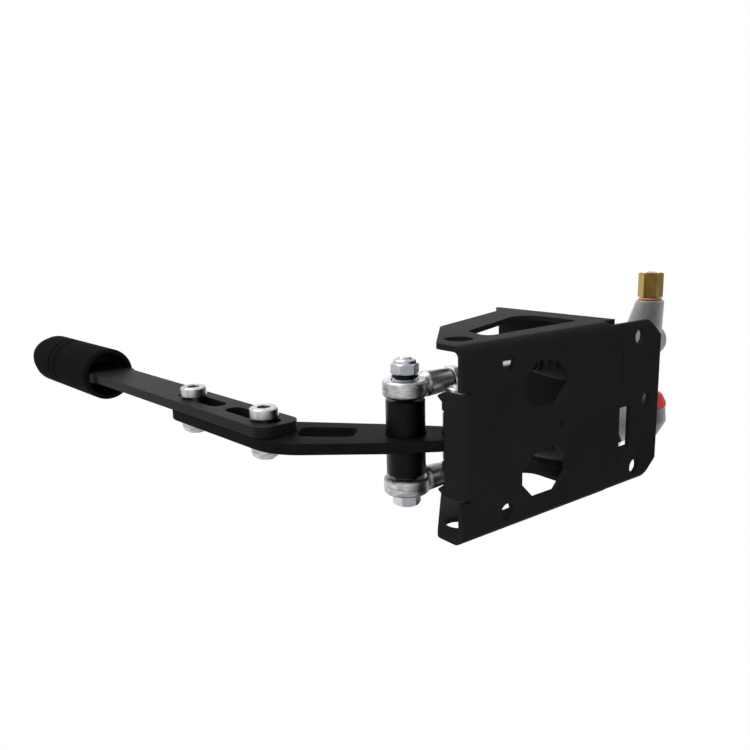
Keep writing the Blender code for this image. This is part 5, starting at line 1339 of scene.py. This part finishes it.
def pale_floor():
    """A plain floor under the mounting face, seen from above only."""
    level = cad_box[0][2] - 0.4 * MM
    disc = bmesh.new()
    bmesh.ops.create_circle(disc, cap_ends=True, radius=4.0, segments=96)
    mesh = bpy.data.meshes.new("studio_floor")
    disc.to_mesh(mesh)
    disc.free()
    floor = bpy.data.objects.new("studio_floor", mesh)
    floor.location = (0, 0, level)
    bpy.context.scene.collection.objects.link(floor)
    look = Look("studio_floor", (0.82, 0.82, 0.82), 0.9)
    path = look.node("ShaderNodeLightPath").outputs
    back = Field(look, look.node("ShaderNodeNewGeometry").outputs["Backfacing"])
    seen = (Field(look, path["Is Camera Ray"]) + Field(look, path["Is Glossy Ray"])).held() * (1 - back)
    clear = look.node("ShaderNodeBsdfTransparent")
    shown = look.node("ShaderNodeMixShader", {}, {0: seen, 1: clear.outputs[0], 2: look.surface.outputs[0]})
    look.give(look.tree.nodes["Material Output"], "Surface", shown.outputs[0])
    mesh.materials.append(look.material)


def white_surround(level):
    """White to the camera and in reflections; elsewhere an even light at this level."""
    world = bpy.data.worlds.new("surround")
    bpy.context.scene.world = world
    world.use_nodes = True
    board = Board(world.node_tree)
    path = board.node("ShaderNodeLightPath").outputs
    seen = Field(board, path["Is Camera Ray"]) + Field(board, path["Is Glossy Ray"])
    seen = (seen + Field(board, path["Is Transmission Ray"])).held()
    background = world.node_tree.nodes["Background"]
    board.give(background, "Strength", level + (1 - level) * seen)
    board.give(background, "Color", (1.0, 1.0, 1.0, 1.0))


def softbox(name, place, aim, size, power):
    """A square lamp at a place, facing a point."""
    lamp = bpy.data.lights.new(name, "AREA")
    lamp.shape = "SQUARE"
    lamp.size = size
    lamp.energy = power
    box = bpy.data.objects.new(name, lamp)
    box.location = place
    box.rotation_euler = (Vector(aim) - Vector(place)).to_track_quat("-Z", "Y").to_euler()
    bpy.context.scene.collection.objects.link(box)


def photo_camera():
    """The camera of the photograph, fitted to the mounting holes: low, in front, below the plate."""
    right = Vector((0.79680, 0.02457, -0.60376))
    up = Vector((0.14215, -0.97875, 0.14777))
    ahead = Vector((0.58730, 0.20357, 0.78337))
    data = bpy.data.cameras.new("photo_camera")
    data.sensor_width = 36.0
    data.lens = 35.52
    camera = bpy.data.objects.new("photo_camera", data)
    turn = Matrix((right, up, -ahead)).transposed().to_4x4()
    camera.matrix_world = Matrix.Translation((-0.3279, -0.1104, -0.2506)) @ turn
    bpy.context.scene.collection.objects.link(camera)
    bpy.context.scene.camera = camera


pale_floor()
white_surround(level=0.5)
middle = (-0.03, 0.0, 0.1)
softbox("key_lamp", (-0.35, -0.95, 0.45), middle, size=0.6, power=5.0)
softbox("front_lamp", (-0.9, -0.2, -0.7), middle, size=0.9, power=4.0)
softbox("rear_lamp", (0.9, 0.2, 0.9), middle, size=0.9, power=5.0)
photo_camera()
bpy.context.scene.view_settings.view_transform = "Standard"
